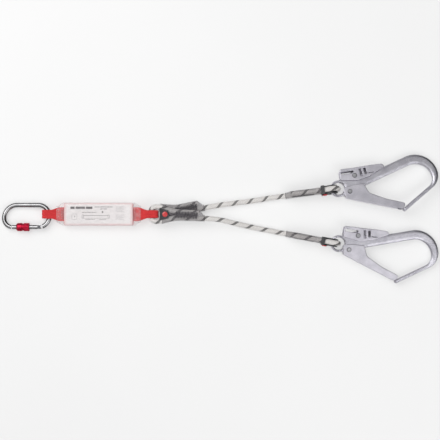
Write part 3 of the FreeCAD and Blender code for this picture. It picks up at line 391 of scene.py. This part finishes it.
def make_piece(name, points, faces, finish, uvs=None):
    """A smooth shaded mesh from points in millimetres in the row frame."""
    mesh = bpy.data.meshes.new(name)
    mesh.from_pydata((np.asarray(points) * MM).tolist(), [], faces)
    mesh.polygons.foreach_set("use_smooth", [True] * len(mesh.polygons))
    if uvs is not None:
        layer = mesh.uv_layers.new(name="flat")
        corners = np.zeros(len(mesh.loops), int)
        mesh.loops.foreach_get("vertex_index", corners)
        flat = np.asarray(uvs, float)[corners]
        layer.data.foreach_set("uv", flat.ravel())
    mesh.materials.append(finish)
    mesh.validate()
    piece = bpy.data.objects.new(name, mesh)
    bpy.context.collection.objects.link(piece)
    return piece


def grid_faces(rows, columns, closed, start=0):
    """Quads of a grid, which may close on itself across its columns."""
    faces = []
    last = columns if closed else columns - 1
    for i in range(rows - 1):
        for j in range(last):
            k = (j + 1) % columns
            a, b = start + i * columns, start + (i + 1) * columns
            faces.append((a + j, a + k, b + k, b + j))
    return faces


def frames_along(path, normal=None):
    """Tangent, normal and binormal at each point, without twist."""
    tangents = np.gradient(path, axis=0)
    tangents /= np.linalg.norm(tangents, axis=1)[:, None]
    if normal is None:
        normal = np.cross(tangents[0], (0.0, 0.0, 1.0))
        if np.linalg.norm(normal) < 0.1:
            normal = np.cross(tangents[0], (0.0, 1.0, 0.0))
    normals = []
    for tangent in tangents:
        normal = normal - tangent * float(np.dot(normal, tangent))
        normal = normal / np.linalg.norm(normal)
        normals.append(normal)
    normals = np.array(normals)
    return tangents, normals, np.cross(tangents, normals)


def lengths_along(path):
    steps = np.linalg.norm(np.diff(path, axis=0), axis=1)
    return np.concatenate([[0.0], np.cumsum(steps)])


def spread_evenly(path, step):
    """The same line with its points a fixed distance apart."""
    along = lengths_along(path)
    count = max(2, int(round(along[-1] / step)) + 1)
    spots = np.linspace(0.0, along[-1], count)
    return np.stack([np.interp(spots, along, path[:, k]) for k in range(3)], axis=1)


def spline_line(name, stops):
    """Points of a smooth NURBS spline whose control points are the stops."""
    curve = bpy.data.curves.new(name, "CURVE")
    curve.dimensions = "3D"
    spline = curve.splines.new("NURBS")
    spline.points.add(len(stops) - 1)
    for point, stop in zip(spline.points, stops):
        point.co = (*stop, 1.0)
    spline.order_u = 3
    spline.use_endpoint_u = True
    spline.resolution_u = 48
    holder = bpy.data.objects.new(name, curve)
    bpy.context.collection.objects.link(holder)
    bpy.context.view_layer.update()
    mesh = bpy.data.meshes.new_from_object(holder)
    line = np.array([v.co for v in mesh.vertices], float)
    bpy.data.objects.remove(holder)
    bpy.data.meshes.remove(mesh)
    return line


def tube_parts(path, radius, sides, start):
    """Points, faces and flat coordinates of a round tube with closed ends."""
    path = np.asarray(path, float)
    _, normals, binormals = frames_along(path)
    angles = np.linspace(0, 2 * math.pi, sides, endpoint=False)
    ring = np.cos(angles)[None, :, None] * normals[:, None, :]
    ring = ring + np.sin(angles)[None, :, None] * binormals[:, None, :]
    points = (path[:, None, :] + radius * ring).reshape(-1, 3)
    along = lengths_along(path)
    turns = np.tile(angles / (2 * math.pi), len(path))
    uvs = np.stack([turns, np.repeat(along, sides)], axis=1)
    faces = grid_faces(len(path), sides, True, start)
    return points, faces + end_caps(len(path), sides, start), uvs


def end_caps(rows, count, start=0):
    """The two faces that close a tube of rows rings."""
    last = start + (rows - 1) * count
    return [
        tuple(start + j for j in reversed(range(count))),
        tuple(last + j for j in range(count)),
    ]


def tubes(name, paths, radius, finish, sides):
    """Round tubes, such as threads or hems, as one piece."""
    all_points, all_faces, all_uvs = [], [], []
    start = 0
    for path in paths:
        points, faces, uvs = tube_parts(path, radius, sides, start)
        all_points.append(points)
        all_faces.extend(faces)
        all_uvs.append(uvs)
        start += len(points)
    points, uvs = np.concatenate(all_points), np.concatenate(all_uvs)
    return make_piece(name, points, all_faces, finish, uvs)


# ------------------------------------------------------------------ ropes


ROPE_RADIUS = 5.5
BRAID_DEPTH = 0.42
ROPE_SIDES, ROPE_STEP = 64, 0.6


def braid_height(turn, advance):
    """Height of the woven strands: 0 in the gaps and 1 on their backs."""
    a = BRAID_STRANDS * (turn + advance)
    b = BRAID_STRANDS * (turn - advance)
    over = (np.floor(a) + np.floor(b)) % 2 < 0.5
    part_a, part_b = a - np.floor(a), b - np.floor(b)
    across = np.where(over, part_a, part_b)
    along = np.where(over, part_b, part_a)
    return np.sqrt(np.sin(math.pi * across)) * (0.5 + 0.5 * np.sin(math.pi * along))


def braided_rope(name, path, normal=None, lead=0.0):
    """A rope whose braid carries on from a lead length. Returns its end."""
    path = spread_evenly(np.asarray(path, float), ROPE_STEP)
    _, normals, binormals = frames_along(path, normal)
    along = lengths_along(path) + lead
    angles = np.linspace(0, 1, ROPE_SIDES, endpoint=False)
    turn, advance = np.meshgrid(angles, along / BRAID_PITCH)
    radius = ROPE_RADIUS - BRAID_DEPTH + BRAID_DEPTH * braid_height(turn, advance)
    out = np.cos(2 * math.pi * turn)[..., None] * normals[:, None, :]
    out = out + np.sin(2 * math.pi * turn)[..., None] * binormals[:, None, :]
    points = (path[:, None, :] + radius[..., None] * out).reshape(-1, 3)
    faces = grid_faces(len(path), ROPE_SIDES, True) + end_caps(len(path), ROPE_SIDES)
    piece = make_piece(name, points, faces, ROPE)
    lay_flat(piece.data, ROPE_SIDES, along / BRAID_PITCH)
    return piece, path, normals[-1], along[-1]


def lay_flat(mesh, sides, advance):
    """Flat coordinates of a rope: turns round it, and turns along it. The
    last quad of each ring ends at one full turn, so that the braid closes."""
    layer = mesh.uv_layers.new(name="flat")
    corners = np.zeros(len(mesh.loops), int)
    mesh.loops.foreach_get("vertex_index", corners)
    row, column = corners // sides, corners % sides
    turn = column / sides
    quad_corners = (len(advance) - 1) * sides * 4
    quads = turn[:quad_corners].reshape(-1, 4)
    closing = (quads.max(axis=1) > 0.9)[:, None] & (quads < 0.1)
    quads[closing] = 1.0
    layer.data.foreach_set("uv", np.stack([turn, advance[row]], axis=1).ravel())


# The free rope of each leg: the stops of its route, in metres.
ARM_STOPS = {
    "left": [
        (0.22775, 0.01378, 0.0092),
        (0.25425, 0.01893, 0.0092),
        (0.292, 0.0239, 0.0069),
        (0.331, 0.0284, 0.006),
        (0.37391, 0.03595, 0.00615),
        (0.40064, 0.03923, 0.00808),
    ],
    "right": [
        (0.22824, -0.00912, 0.0244),
        (0.25522, -0.01006, 0.0244),
        (0.289, -0.019, 0.015),
        (0.334, -0.029, 0.007),
        (0.37571, -0.0372, 0.00606),
        (0.40219, -0.04211, 0.00799),
    ],
}

HOOKS = {
    # ring centre, rope's yaw at the ring, and the hook's roll
    "left": {"ring": (514.3, 54.2, 21), "rope_yaw": 7, "roll": -10},
    "right": {"ring": (514.9, -63.0, 21), "rope_yaw": -10.5, "roll": 0},
}
RING_TO_BIGHT = 14.3
ROPE_RISE = 4.1
LOOP_BIGHTS = {
    # centre of the bight in the webbing loop, and its yaw
    "left": {"centre": (127.5, 0.2, 9.2), "yaw": 11},
    "right": {"centre": (127.5, 0.2, 24.4), "yaw": -2},
}


def turned(axis, degrees):
    return Matrix.Rotation(math.radians(degrees), 4, axis)


def loop_end_matrix(side):
    bight = LOOP_BIGHTS[side]
    return Matrix.Translation(bight["centre"]) @ turned("Z", bight["yaw"])


def hook_end_matrix(side):
    rig = HOOKS[side]
    yaw = math.radians(rig["rope_yaw"])
    ahead = Vector((math.cos(yaw), math.sin(yaw), 0))
    centre = Vector(rig["ring"]) - ahead * RING_TO_BIGHT
    facing = turned("Z", rig["rope_yaw"] + 180) @ turned("Y", ROPE_RISE)
    return Matrix.Translation(centre) @ facing @ turned("X", 90 - rig["roll"])


def moved(points, matrix):
    points = np.asarray(points, float)
    m = np.array(matrix, float)
    return points @ m[:3, :3].T + m[:3, 3]


# A sewn eye, with X from the middle of its bight towards its tail.
STRAND_Y = 5.8
TAPER = math.radians(16)
TAIL_X = 88
LOADED_X = 101
NECK_RUN = 22


def eye_line(name, radius, matrix):
    """The rope round an eye, from its sewn tail to its loaded end."""
    neck = (radius - STRAND_Y * math.cos(TAPER)) / math.sin(TAPER)
    crest = radius / math.cos(TAPER) + radius * math.tan(TAPER)
    upper = [(TAIL_X, STRAND_Y, 0), (neck + NECK_RUN, STRAND_Y, 0), (neck, STRAND_Y, 0)]
    upper.append((-radius, crest, 0))
    lower = [(x, -y, z) for x, y, z in reversed(upper)]
    lower[-1] = (LOADED_X, -STRAND_Y, 0)
    local = spline_line(name, upper + lower)
    return moved(local, matrix)


EYE_RADIUS = {"loop": 16.0, "hook": 13.8}


def rope_leg(side):
    """One leg's rope: eye, free arm and eye, with one unbroken braid."""
    near, far = loop_end_matrix(side), hook_end_matrix(side)
    line = eye_line("loop_eye_line", EYE_RADIUS["loop"], near)
    eye, _, normal, lead = braided_rope(f"{side}_loop_eye", line)
    dress_rope(eye, side, f"{side}_loop_eye_rope")
    line = spline_line("arm_line", ARM_STOPS[side]) / MM
    arm, path, normal, lead = braided_rope(f"{side}_rope", line, normal, lead)
    dress_rope(arm, side, f"{side}_rope_arm")
    line = eye_line("hook_eye_line", EYE_RADIUS["hook"], far)[::-1]
    eye, _, normal, lead = braided_rope(f"{side}_hook_eye", line, normal, lead)
    dress_rope(eye, side, f"{side}_hook_eye_rope")


def dress_rope(piece, side, node):
    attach(piece, f"{side}_leg")
    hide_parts(node)


# ---------------------------------------------------------------- webbing


RIBS = 16
RIB_HEIGHT = 0.09
UNWORN_HALF_WIDTH = 15
STRAP_COLUMNS = 61


def strap(name, line, width_at, thickness, finish, pleat_at=None):
    """A woven band with thin selvedges, lengthwise ribs and slightly wavy
    sides. line is its middle in the XZ plane, and its width is along Y."""
    line = np.asarray(line, float)
    tangents = np.gradient(line, axis=0)
    tangents /= np.linalg.norm(tangents, axis=1)[:, None]
    outward = np.stack([-tangents[:, 2], np.zeros(len(line)), tangents[:, 0]], axis=1)
    widths = np.array([width_at(x, z) for x, _, z in line])
    pleats = np.zeros(len(line))
    if pleat_at is not None:
        pleats = np.array([pleat_at(x, z) for x, _, z in line])
    along = lengths_along(line)
    share = np.linspace(-1, 1, STRAP_COLUMNS)
    count = 2 * STRAP_COLUMNS
    rib = RIB_HEIGHT * np.cos(share * math.pi * RIBS)
    edge = np.sqrt(np.clip(1 - (np.abs(share) ** 14), 0, 1))
    rings, uvs = [], []
    for i, centre in enumerate(line):
        half = widths[i] / 2
        fold = pleats[i] * (0.5 + 0.5 * np.cos(share * math.pi * 3))
        top = edge * (thickness / 2 + rib - 0.1) + fold
        low = -edge * (thickness / 2 + rib - 0.1) + fold
        wobble = 0.12 * math.sin(along[i] * 1.9)
        y = share * (half + wobble)
        upper = centre + top[:, None] * outward[i]
        lower = centre + low[::-1, None] * outward[i]
        upper[:, 1] += y
        lower[:, 1] += y[::-1]
        rings.append(np.concatenate([upper, lower]))
        flat = np.concatenate([share, share[::-1]]) * UNWORN_HALF_WIDTH * MM
        uvs.append(np.stack([flat, np.full(count, along[i] * MM)], axis=1))
    points, uvs = np.concatenate(rings), np.concatenate(uvs)
    faces = grid_faces(len(line), count, True) + end_caps(len(line), count)
    return make_piece(name, points, faces, finish, uvs)


def between(value, start, end, low, high):
    """Eases from low at start to high at end."""
    share = min(1.0, max(0.0, (value - start) / (end - start)))
    share = share * share * (3 - 2 * share)
    return low + (high - low) * share


# The pack's middle height, where its loops leave it, and the band's thickness.
PACK_Z = 11.0
ROOT_X = 73.5
BAND = 2.2
PLY_WIDTH = 30


def loop_line(name, crown, reach, middle, half):
    """A loop's middle line: out of the pack, over, round the fold and back."""
    high, low = middle + half + BAND / 2, middle - half - BAND / 2
    tip, shoulder = reach - BAND / 2, crown - 2
    sewn, mouth, slot = ROOT_X - 14, ROOT_X - 1, BAND / 2 + 0.15
    stops = [
        (sewn, slot),
        (mouth, slot),
        (shoulder, high),
        (tip, high),
        (tip, (high + low) / 2),
        (tip, low),
        (shoulder, low),
        (mouth, -slot),
        (sewn, -slot),
    ]
    metres = [(x * MM, 0, (PACK_Z + z) * MM) for x, z in stops]
    return spread_evenly(spline_line(name, metres) / MM, 0.9)


def webbing_loop(side, name, crown, reach, middle, half, tip_width):
    """One of the absorber's two loops; side is +1 at the rope end."""
    line = loop_line(name, crown, reach, middle, half)

    def width_at(x, _):
        return between(x, ROOT_X + 9, crown + 2, PLY_WIDTH, tip_width)

    def pleat_at(x, z):
        above = between(z - PACK_Z, middle, middle + half, 0, 1)
        return 0.9 * above * between(x, ROOT_X + 12, crown, 0, 1)

    piece = strap(name, line, width_at, BAND - 0.1, WEBBING, pleat_at)
    if side < 0:
        piece.data.transform(Matrix.Diagonal((-1, 1, 1, 1)))
        piece.data.flip_normals()
    return piece


STITCHES, STITCH_PITCH, STITCH_LENGTH = 6, 3.7, 2.8


def loop_threads(name, side, line, rows):
    """Rows of short stitches across both plies, where they leave the pack."""
    paths = []
    for face in (1, -1):
        ply = line if face > 0 else line[::-1]
        for row in rows:
            at = int(np.argmin(np.abs(ply[: len(ply) // 2, 0] - ROOT_X - row)))
            here, ahead = ply[at], ply[at + 1]
            slope = ahead - here
            lift = np.array([-slope[2], 0, slope[0]]) * face
            lift /= np.linalg.norm(lift)
            if lift[2] * face < 0:
                lift = -lift
            centre = here + lift * (BAND / 2 - 0.05)
            for k in range(STITCHES):
                start = centre + (0, -10.6 + STITCH_PITCH * k, 0)
                arch = ((0, -0.5), (0.125, 0.25), (0.5, 0.42), (0.875, 0.25), (1, -0.5))
                stitch = np.array(
                    [start + (0, STITCH_LENGTH * t, 0) + lift * rise for t, rise in arch]
                )
                stitch[:, 0] *= side
                paths.append(stitch)
    return tubes(name, paths, 0.42, RED_THREAD, 6)


ROPE_LOOP = {"crown": 105.0, "reach": 129.0, "middle": 5.8, "half": 14.3}
HARNESS_LOOP = {"crown": 100.3, "reach": 121.5, "middle": -0.1, "half": 8.4}


def webbing_loops():
    for side, name, loop, tip in (
        (1, "rope_loop", ROPE_LOOP, 17),
        (-1, "harness_loop", HARNESS_LOOP, 19),
    ):
        shape = (loop["crown"], loop["reach"], loop["middle"], loop["half"])
        band = webbing_loop(side, f"{name}_webbing", *shape, tip)
        dress(band, "absorber", "red_webbing", name)
        line = loop_line(name, *shape)
        threads = loop_threads(f"{name}_threads", side, line, (2.0, 4.2, 6.4))
        dress(threads, "absorber", "black_thread", f"{name}_stitching")


def dress(piece, body, slot, *nodes):
    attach(piece, body)
    if nodes:
        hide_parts(*nodes)


TEAR_HEIGHTS = (3.7, 5.85, 8.0)
TEAR_THICKNESS = 2.0


def tear_webbing():
    """The folded tear webbing: two flat stacks of plies, one each side of
    the loops' own plies."""
    end = ROOT_X - 1.2
    for name, sign in (("tear_webbing_upper", 1), ("tear_webbing_lower", -1)):
        stops = []
        for i, height in enumerate(TEAR_HEIGHTS):
            run = [(-end, sign * height), (end, sign * height)]
            stops.extend(run if i % 2 == 0 else reversed(run))
        line = folded_line(stops)
        piece = strap(name, line, tear_width, TEAR_THICKNESS, WEBBING)
        dress(piece, "absorber", "red_webbing", "tear_webbing_pack")


def tear_width(_, z):
    """The outer plies are a little narrower, under the label's soft corners."""
    return between(abs(z - PACK_Z), 4, 9, 45.5, 42.5)


def folded_line(stops):
    """Level plies joined by half turns, from (x, height) pairs."""
    line = []
    for k in range(0, len(stops), 2):
        (x0, z0), (x1, _) = stops[k], stops[k + 1]
        for t in np.linspace(0, 1, 60):
            line.append((x0 + (x1 - x0) * t, 0, PACK_Z + z0))
        if k + 2 < len(stops):
            z2 = stops[k + 2][1]
            radius, middle = (z2 - z0) / 2, (z0 + z2) / 2
            way = math.copysign(1, x1 - x0)
            for t in np.linspace(0.12, 0.88, 7):
                lean = math.pi * (t - 0.5)
                x = x1 + way * abs(radius) * math.cos(lean)
                line.append((x, 0, PACK_Z + middle + radius * math.sin(lean)))
    return np.array(line)


# -------------------------------------------------------- label and cover


def rounded_ring(half_width, half_height, power, count):
    """A soft-cornered flat section in the YZ plane."""
    angles = np.linspace(0, 2 * math.pi, count, endpoint=False) + math.pi / count
    c, s = np.cos(angles), np.sin(angles)
    y = half_width * np.sign(c) * np.abs(c) ** (2 / power)
    z = half_height * np.sign(s) * np.abs(s) ** (2 / power)
    return y, z


def smooth_noise(a, b, seed):
    """A slow repeatable waviness between about -1 and 1."""
    return (
        np.sin(1.7 * a + 0.6 * np.sin(2.3 * b + seed) + seed)
        + 0.6 * np.sin(3.1 * b + 1.3 * np.sin(1.1 * a - seed) + 2 * seed)
        + 0.35 * np.sin(5.3 * a - 4.1 * b + 3 * seed)
    ) / 1.95


LABEL_HALF = (24.3, 9.75)
LABEL_POWER = 7.0


def label_wave(x, y):
    return 0.22 * smooth_noise(x * 0.05, y * 0.09, 1.0)


def label_top(x, y):
    """Height of the label's upper face above the middle of the pack."""
    share = np.clip(np.abs(y) / LABEL_HALF[0], 0, 0.98)
    rise = LABEL_HALF[1] * (1 - share**LABEL_POWER) ** (1 / LABEL_POWER)
    return rise + label_wave(x, y)


def label_sleeve():
    """The printed label, wrapped once round the folded webbing."""
    count, rows = 160, 110
    xs = np.linspace(-ROOT_X, ROOT_X, rows)
    y, z = rounded_ring(*LABEL_HALF, LABEL_POWER, count)
    around = np.concatenate([[0], np.cumsum(np.hypot(np.diff(y), np.diff(z)))])
    points, uvs = [], []
    for x in xs:
        lift = np.sign(z) * label_wave(x, y) * (np.abs(z) > 6)
        points.append(np.stack([np.full(count, x), y, PACK_Z + z + lift], axis=1))
        uvs.append(np.stack([np.full(count, x * MM), around * MM], axis=1))
    points, uvs = np.concatenate(points), np.concatenate(uvs)
    piece = make_piece("label_sleeve", points, grid_faces(rows, count, True), LABEL, uvs)
    hem = piece.modifiers.new("thickness", "SOLIDIFY")
    hem.thickness = 0.0004
    dress(piece, "absorber", "label", "instruction_label")


INK_LIFT = 0.1


class Print:
    """Ink shapes that lie on the label's upper face."""

    def __init__(self, name, finish):
        self.name, self.finish = name, finish
        self.points, self.faces = [], []

    def block(self, x0, x1, y0, y1):
        """A bar of ink, cut small enough to follow the label."""
        columns, rows = int((x1 - x0) / 3) + 2, int((y1 - y0) / 3) + 2
        start = len(self.points)
        for x in np.linspace(x0, x1, columns):
            for y in np.linspace(y0, y1, rows):
                height = PACK_Z + float(label_top(x, y)) + INK_LIFT
                self.points.append((x, y, height))
        self.faces.extend(grid_faces(columns, rows, False, start))

    def words(self, x0, x1, y, height):
        """A line of print too small to read, as short dashes."""
        x = x0
        while x < x1:
            length = min(chance.uniform(1.4, 4.6), x1 - x)
            self.block(x, x + length, y, y + height)
            x += length + 0.8

    def frame(self, x0, x1, y0, y1, line):
        self.block(x0, x1, y0, y0 + line)
        self.block(x0, x1, y1 - line, y1)
        self.block(x0, x0 + line, y0, y1)
        self.block(x1 - line, x1, y0, y1)

    def place(self):
        piece = make_piece(self.name, self.points, self.faces, self.finish)
        dress(piece, "absorber", "label")


def label_print():
    """Plain marks where the real label is printed; none of them is lettering."""
    heading = Print("label_heading", DARK_INK)
    for start, end in ((-60, -51), (-49, -29), (-27, -13)):
        heading.block(start, end, 11.2, 16.2)
    heading.words(-8, 30, 14.6, 1.6)
    heading.words(4, 18, 10.4, 1.5)
    heading.words(-35, -4, 3.4, 1.1)
    heading.block(7.2, 10.2, 2.4, 6.6)
    heading.place()
    symbols = Print("label_symbols", DARK_INK)
    symbols.frame(-57, -46, -11.5, 0.5, 0.35)
    symbols.block(-51.4, -50.2, -6.8, -3.4)
    symbols.block(-32, 20, -3.3, -2.5)
    symbols.block(-32, 20, -8.9, -8.5)
    for x in (-35.5, 20):
        symbols.frame(x, x + 3.6, -8.9, -1.4, 0.6)
    symbols.words(-28, -8, -11.6, 1.0)
    symbols.words(2, 17, -11.6, 1.0)
    symbols.place()
    notes = Print("label_notes", PALE_INK)
    for top in (15.2, -2.2):
        for k in range(5):
            end = 55 if k % 2 == 0 else 51
            notes.words(37, end, top - 2.5 * k, 0.9)
    notes.place()


COVER_REACH = 90.0
COVER_HALF = (25.3, 10.85)
MOUTH_HALF_WIDTH = 17.3
# height of each mouth's middle above the pack's, and half its opening
ROPE_MOUTH = (3.6, 11.4)
HARNESS_MOUTH = (-0.1, 8.4)


def clear_cover():
    """The clear film cover: a soft flat sleeve drawn in round both loops."""
    count, rows = 144, 150
    points = []
    for x in np.linspace(-COVER_REACH, COVER_REACH, rows):
        closing = between(abs(x), 75.5, COVER_REACH, 0, 1)
        mouth_z, mouth_high = ROPE_MOUTH if x > 0 else HARNESS_MOUTH
        half_width = COVER_HALF[0] + (MOUTH_HALF_WIDTH - COVER_HALF[0]) * closing
        half_high = COVER_HALF[1] + (mouth_high - COVER_HALF[1]) * closing
        y, z = rounded_ring(half_width, half_high, 6.5 - 3.2 * closing, count)
        angle = np.arctan2(z * 2.2, y)
        gather = 0.55 * closing * np.sin(angle * 11 + 0.7 * math.sin(x * 0.4))
        wave = 0.28 * smooth_noise(x * 0.13, angle * 1.5, 2.0) - 0.2
        grow = 1 + (gather + wave) / np.hypot(y, z)
        lift = PACK_Z + mouth_z * closing
        ring = np.stack([np.full(count, x), y * grow, lift + z * grow], axis=1)
        ring[:, 2] = np.maximum(ring[:, 2], 0.12)
        points.append(ring)
    faces = grid_faces(rows, count, True)
    cover = make_piece("pack_cover", np.concatenate(points), faces, CLEAR_FILM)
    dress(cover, "absorber", "clear_pvc", "clear_cover")
    rims = [np.concatenate([ring, ring[:2]]) for ring in (points[0], points[-1])]
    hem = tubes("pack_cover_hems", rims, 0.42, CLEAR_FILM, 8)
    dress(hem, "absorber", "clear_pvc")


# -------------------------------------------------------------- terminals


FILM_END_X = 99.8
FILM_CLEAR = 6.75
BUTTON_X, BUTTON_ROOM = 15.5, 8.4


def pouch(name, radius, mouth, matrix, round_button):
    """A smoky film sleeve, shrunk over both strands of a sewn eye. Its mouth
    may be cut back round the red button."""
    count, rows = 96, 110
    sine, cosine = math.sin(TAPER), math.cos(TAPER)
    angles = np.linspace(0, 2 * math.pi, count, endpoint=False)
    c, s = np.cos(angles), np.sin(angles)
    points = np.zeros((rows, count, 3))
    for i, share in enumerate(np.linspace(0, 1, rows)):
        x = np.full(count, mouth + (FILM_END_X - mouth) * share)
        for _ in range(3):
            eye = (radius + FILM_CLEAR - x * sine) / cosine
            strands = STRAND_Y + FILM_CLEAR
            wide = strands + np.log1p(np.exp((eye - strands) * 0.8)) / 0.8
            tail = np.clip((x - 87.5) / 11.5, 0, 1)
            high = wide * (1 - tail) + 0.9 * tail
            centre, half = (high - wide) / 2, (high + wide) / 2
            y = centre + half * np.sign(c) * np.abs(c) ** 0.78
            if round_button:
                over = np.sqrt(np.clip(BUTTON_ROOM**2 - y**2, 0, None))
                start = np.maximum(mouth, BUTTON_X + over)
                start = np.where(np.abs(y) < BUTTON_ROOM, start, mouth)
                x = start + (FILM_END_X - start) * share
        thick = 7.25 - 0.5 * np.exp(-((y / 3.2) ** 2)) - 0.35 * tail
        z = thick * np.sign(s) * np.abs(s) ** 0.78
        wave = 0.16 * smooth_noise(x * 0.16, angles * 2.0, radius)
        crimp = 0.22 * np.exp(-((1 - share) * 14)) * np.sin(angles * 9)
        grow = 1 + (wave + crimp) / np.maximum(np.hypot(y, z), 3)
        points[i] = np.stack([x, y * grow, z * grow], axis=1)
    film = moved(points.reshape(-1, 3), matrix)
    piece = make_piece(name, film, grid_faces(rows, count, True), SMOKY_FILM)
    ends = [moved(points[k], matrix) for k in (0, -1)]
    rims = [np.concatenate([ring, ring[:2]]) for ring in ends]
    return piece, tubes(f"{name}_hems", rims, 0.5, SMOKY_FILM, 8)


SEAM_START, SEAM_LENGTH, SEAM_HALF_WIDTH = 38, 45, 7.9
SEAM_PASSES = 28
THREAD_RADIUS = 0.5


def zigzag_stitching(name, matrix):
    """Dense zigzag seams, two side by side, that bind the strands on both faces."""
    paths = []
    advance = SEAM_LENGTH / SEAM_PASSES
    for face in (1, -1):
        for offset in (0.0, 0.85):
            path = []
            for k in range(SEAM_PASSES + 1):
                way = 1 if k % 2 == 0 else -1
                for t in np.linspace(-1, 1, 9, endpoint=False):
                    x = SEAM_START + offset + advance * (k + (t + 1) / 2)
                    y = way * SEAM_HALF_WIDTH * t
                    side = max(abs(y) - STRAND_Y, 0)
                    z = math.sqrt(ROPE_RADIUS**2 - side**2) + 0.12
                    path.append((x, y, face * z))
            paths.append(moved(np.array(path), matrix))
    return tubes(name, paths, THREAD_RADIUS, BLACK_THREAD, 6)


def terminals(side):
    ends = (("loop", loop_end_matrix(side), 10.0), ("hook", hook_end_matrix(side), 23.8))
    for end, matrix, mouth in ends:
        node = f"{side}_{end}_eye"
        film, hem = pouch(f"{node}_film", EYE_RADIUS[end], mouth, matrix, end == "loop")
        body = f"{side}_leg"
        dress(film, body, "clear_pvc", f"{node}_sleeve")
        dress(hem, body, "clear_pvc")
        seams = zigzag_stitching(f"{node}_seams", matrix)
        dress(seams, body, "black_thread", f"{node}_stitching")


# ------------------------------------------------------- floor and lights


def add_floor():
    """A frosted light table: a leg that swings below it still shows through."""
    s = Shader("pale_floor", Roughness=0.9, Alpha=0.5)
    cloud = s.noise(s.place(), 3, 2)
    s.set("Base Color", s.ramp(cloud, [(0.3, (0.93, 0.93, 0.93)), (0.7, (0.95, 0.95, 0.95))]))
    mesh = bpy.data.meshes.new("floor")
    corners = [(-40, -40, -0.0004), (40, -40, -0.0004), (40, 40, -0.0004), (-40, 40, -0.0004)]
    mesh.from_pydata(corners, [], [(0, 1, 2, 3)])
    mesh.materials.append(s.material)
    floor = bpy.data.objects.new("floor", mesh)
    bpy.context.collection.objects.link(floor)


def add_light(name, place, aim, size, power):
    data = bpy.data.lights.new(name, "AREA")
    data.shape = "RECTANGLE"
    data.size, data.size_y = size
    data.energy = power
    light = bpy.data.objects.new(name, data)
    light.location = place
    way = Vector(aim) - Vector(place)
    light.rotation_euler = way.to_track_quat("-Z", "Y").to_euler()
    light.visible_camera = False
    bpy.context.collection.objects.link(light)


def add_sky():
    """A soft studio dome: bright overhead and under the table, darker near
    the horizon and behind a dark flag beyond the far right corner."""
    world = bpy.data.worlds.new("studio")
    bpy.context.scene.world = world
    world.use_nodes = True
    tree = world.node_tree
    spot = tree.nodes.new("ShaderNodeTexCoord")
    split = tree.nodes.new("ShaderNodeSeparateXYZ")
    height = tree.nodes.new("ShaderNodeMapRange")
    height.inputs["From Min"].default_value = -1.0
    ramp = tree.nodes.new("ShaderNodeValToRGB")
    band = ramp.color_ramp
    band.elements[0].position, band.elements[0].color = 0.49, (1, 1, 1, 1)
    band.elements[1].position, band.elements[1].color = 0.925, (1, 1, 1, 1)
    for position in (0.505, 0.65):
        band.elements.new(position).color = (0.05, 0.05, 0.055, 1)
    back = tree.nodes["Background"]
    back.inputs["Strength"].default_value = 0.92
    tree.links.new(spot.outputs["Generated"], split.inputs[0])
    tree.links.new(split.outputs["Z"], height.inputs["Value"])
    tree.links.new(height.outputs["Result"], ramp.inputs["Fac"])
    facing = tree.nodes.new("ShaderNodeVectorMath")
    facing.operation = "DOT_PRODUCT"
    facing.inputs[1].default_value = Vector((0.75, 0.55, 0.35)).normalized()
    flag = tree.nodes.new("ShaderNodeMapRange")
    flag.interpolation_type = "SMOOTHSTEP"
    flag.inputs["From Min"].default_value = 0.55
    flag.inputs["From Max"].default_value = 0.8
    flag.inputs["To Min"].default_value = 1.0
    flag.inputs["To Max"].default_value = 0.03
    shade = tree.nodes.new("ShaderNodeVectorMath")
    shade.operation = "SCALE"
    tree.links.new(spot.outputs["Generated"], facing.inputs[0])
    tree.links.new(facing.outputs["Value"], flag.inputs["Value"])
    tree.links.new(ramp.outputs["Color"], shade.inputs[0])
    tree.links.new(flag.outputs["Result"], shade.inputs["Scale"])
    tree.links.new(shade.outputs["Vector"], back.inputs["Color"])


add_camera()
for leg in SIDES:
    rope_leg(leg)
webbing_loops()
tear_webbing()
label_sleeve()
label_print()
clear_cover()
for leg in SIDES:
    terminals(leg)
finish_cad_nodes()
add_floor()
add_light("key", (-0.7, 0.9, 1.7), (0.2, 0, 0), (1.6, 1.6), 24)
add_light("fill", (1.3, -0.9, 1.5), (0.3, 0, 0), (1.4, 1.0), 9)
add_sky()
bpy.context.scene.view_settings.view_transform = "Standard"
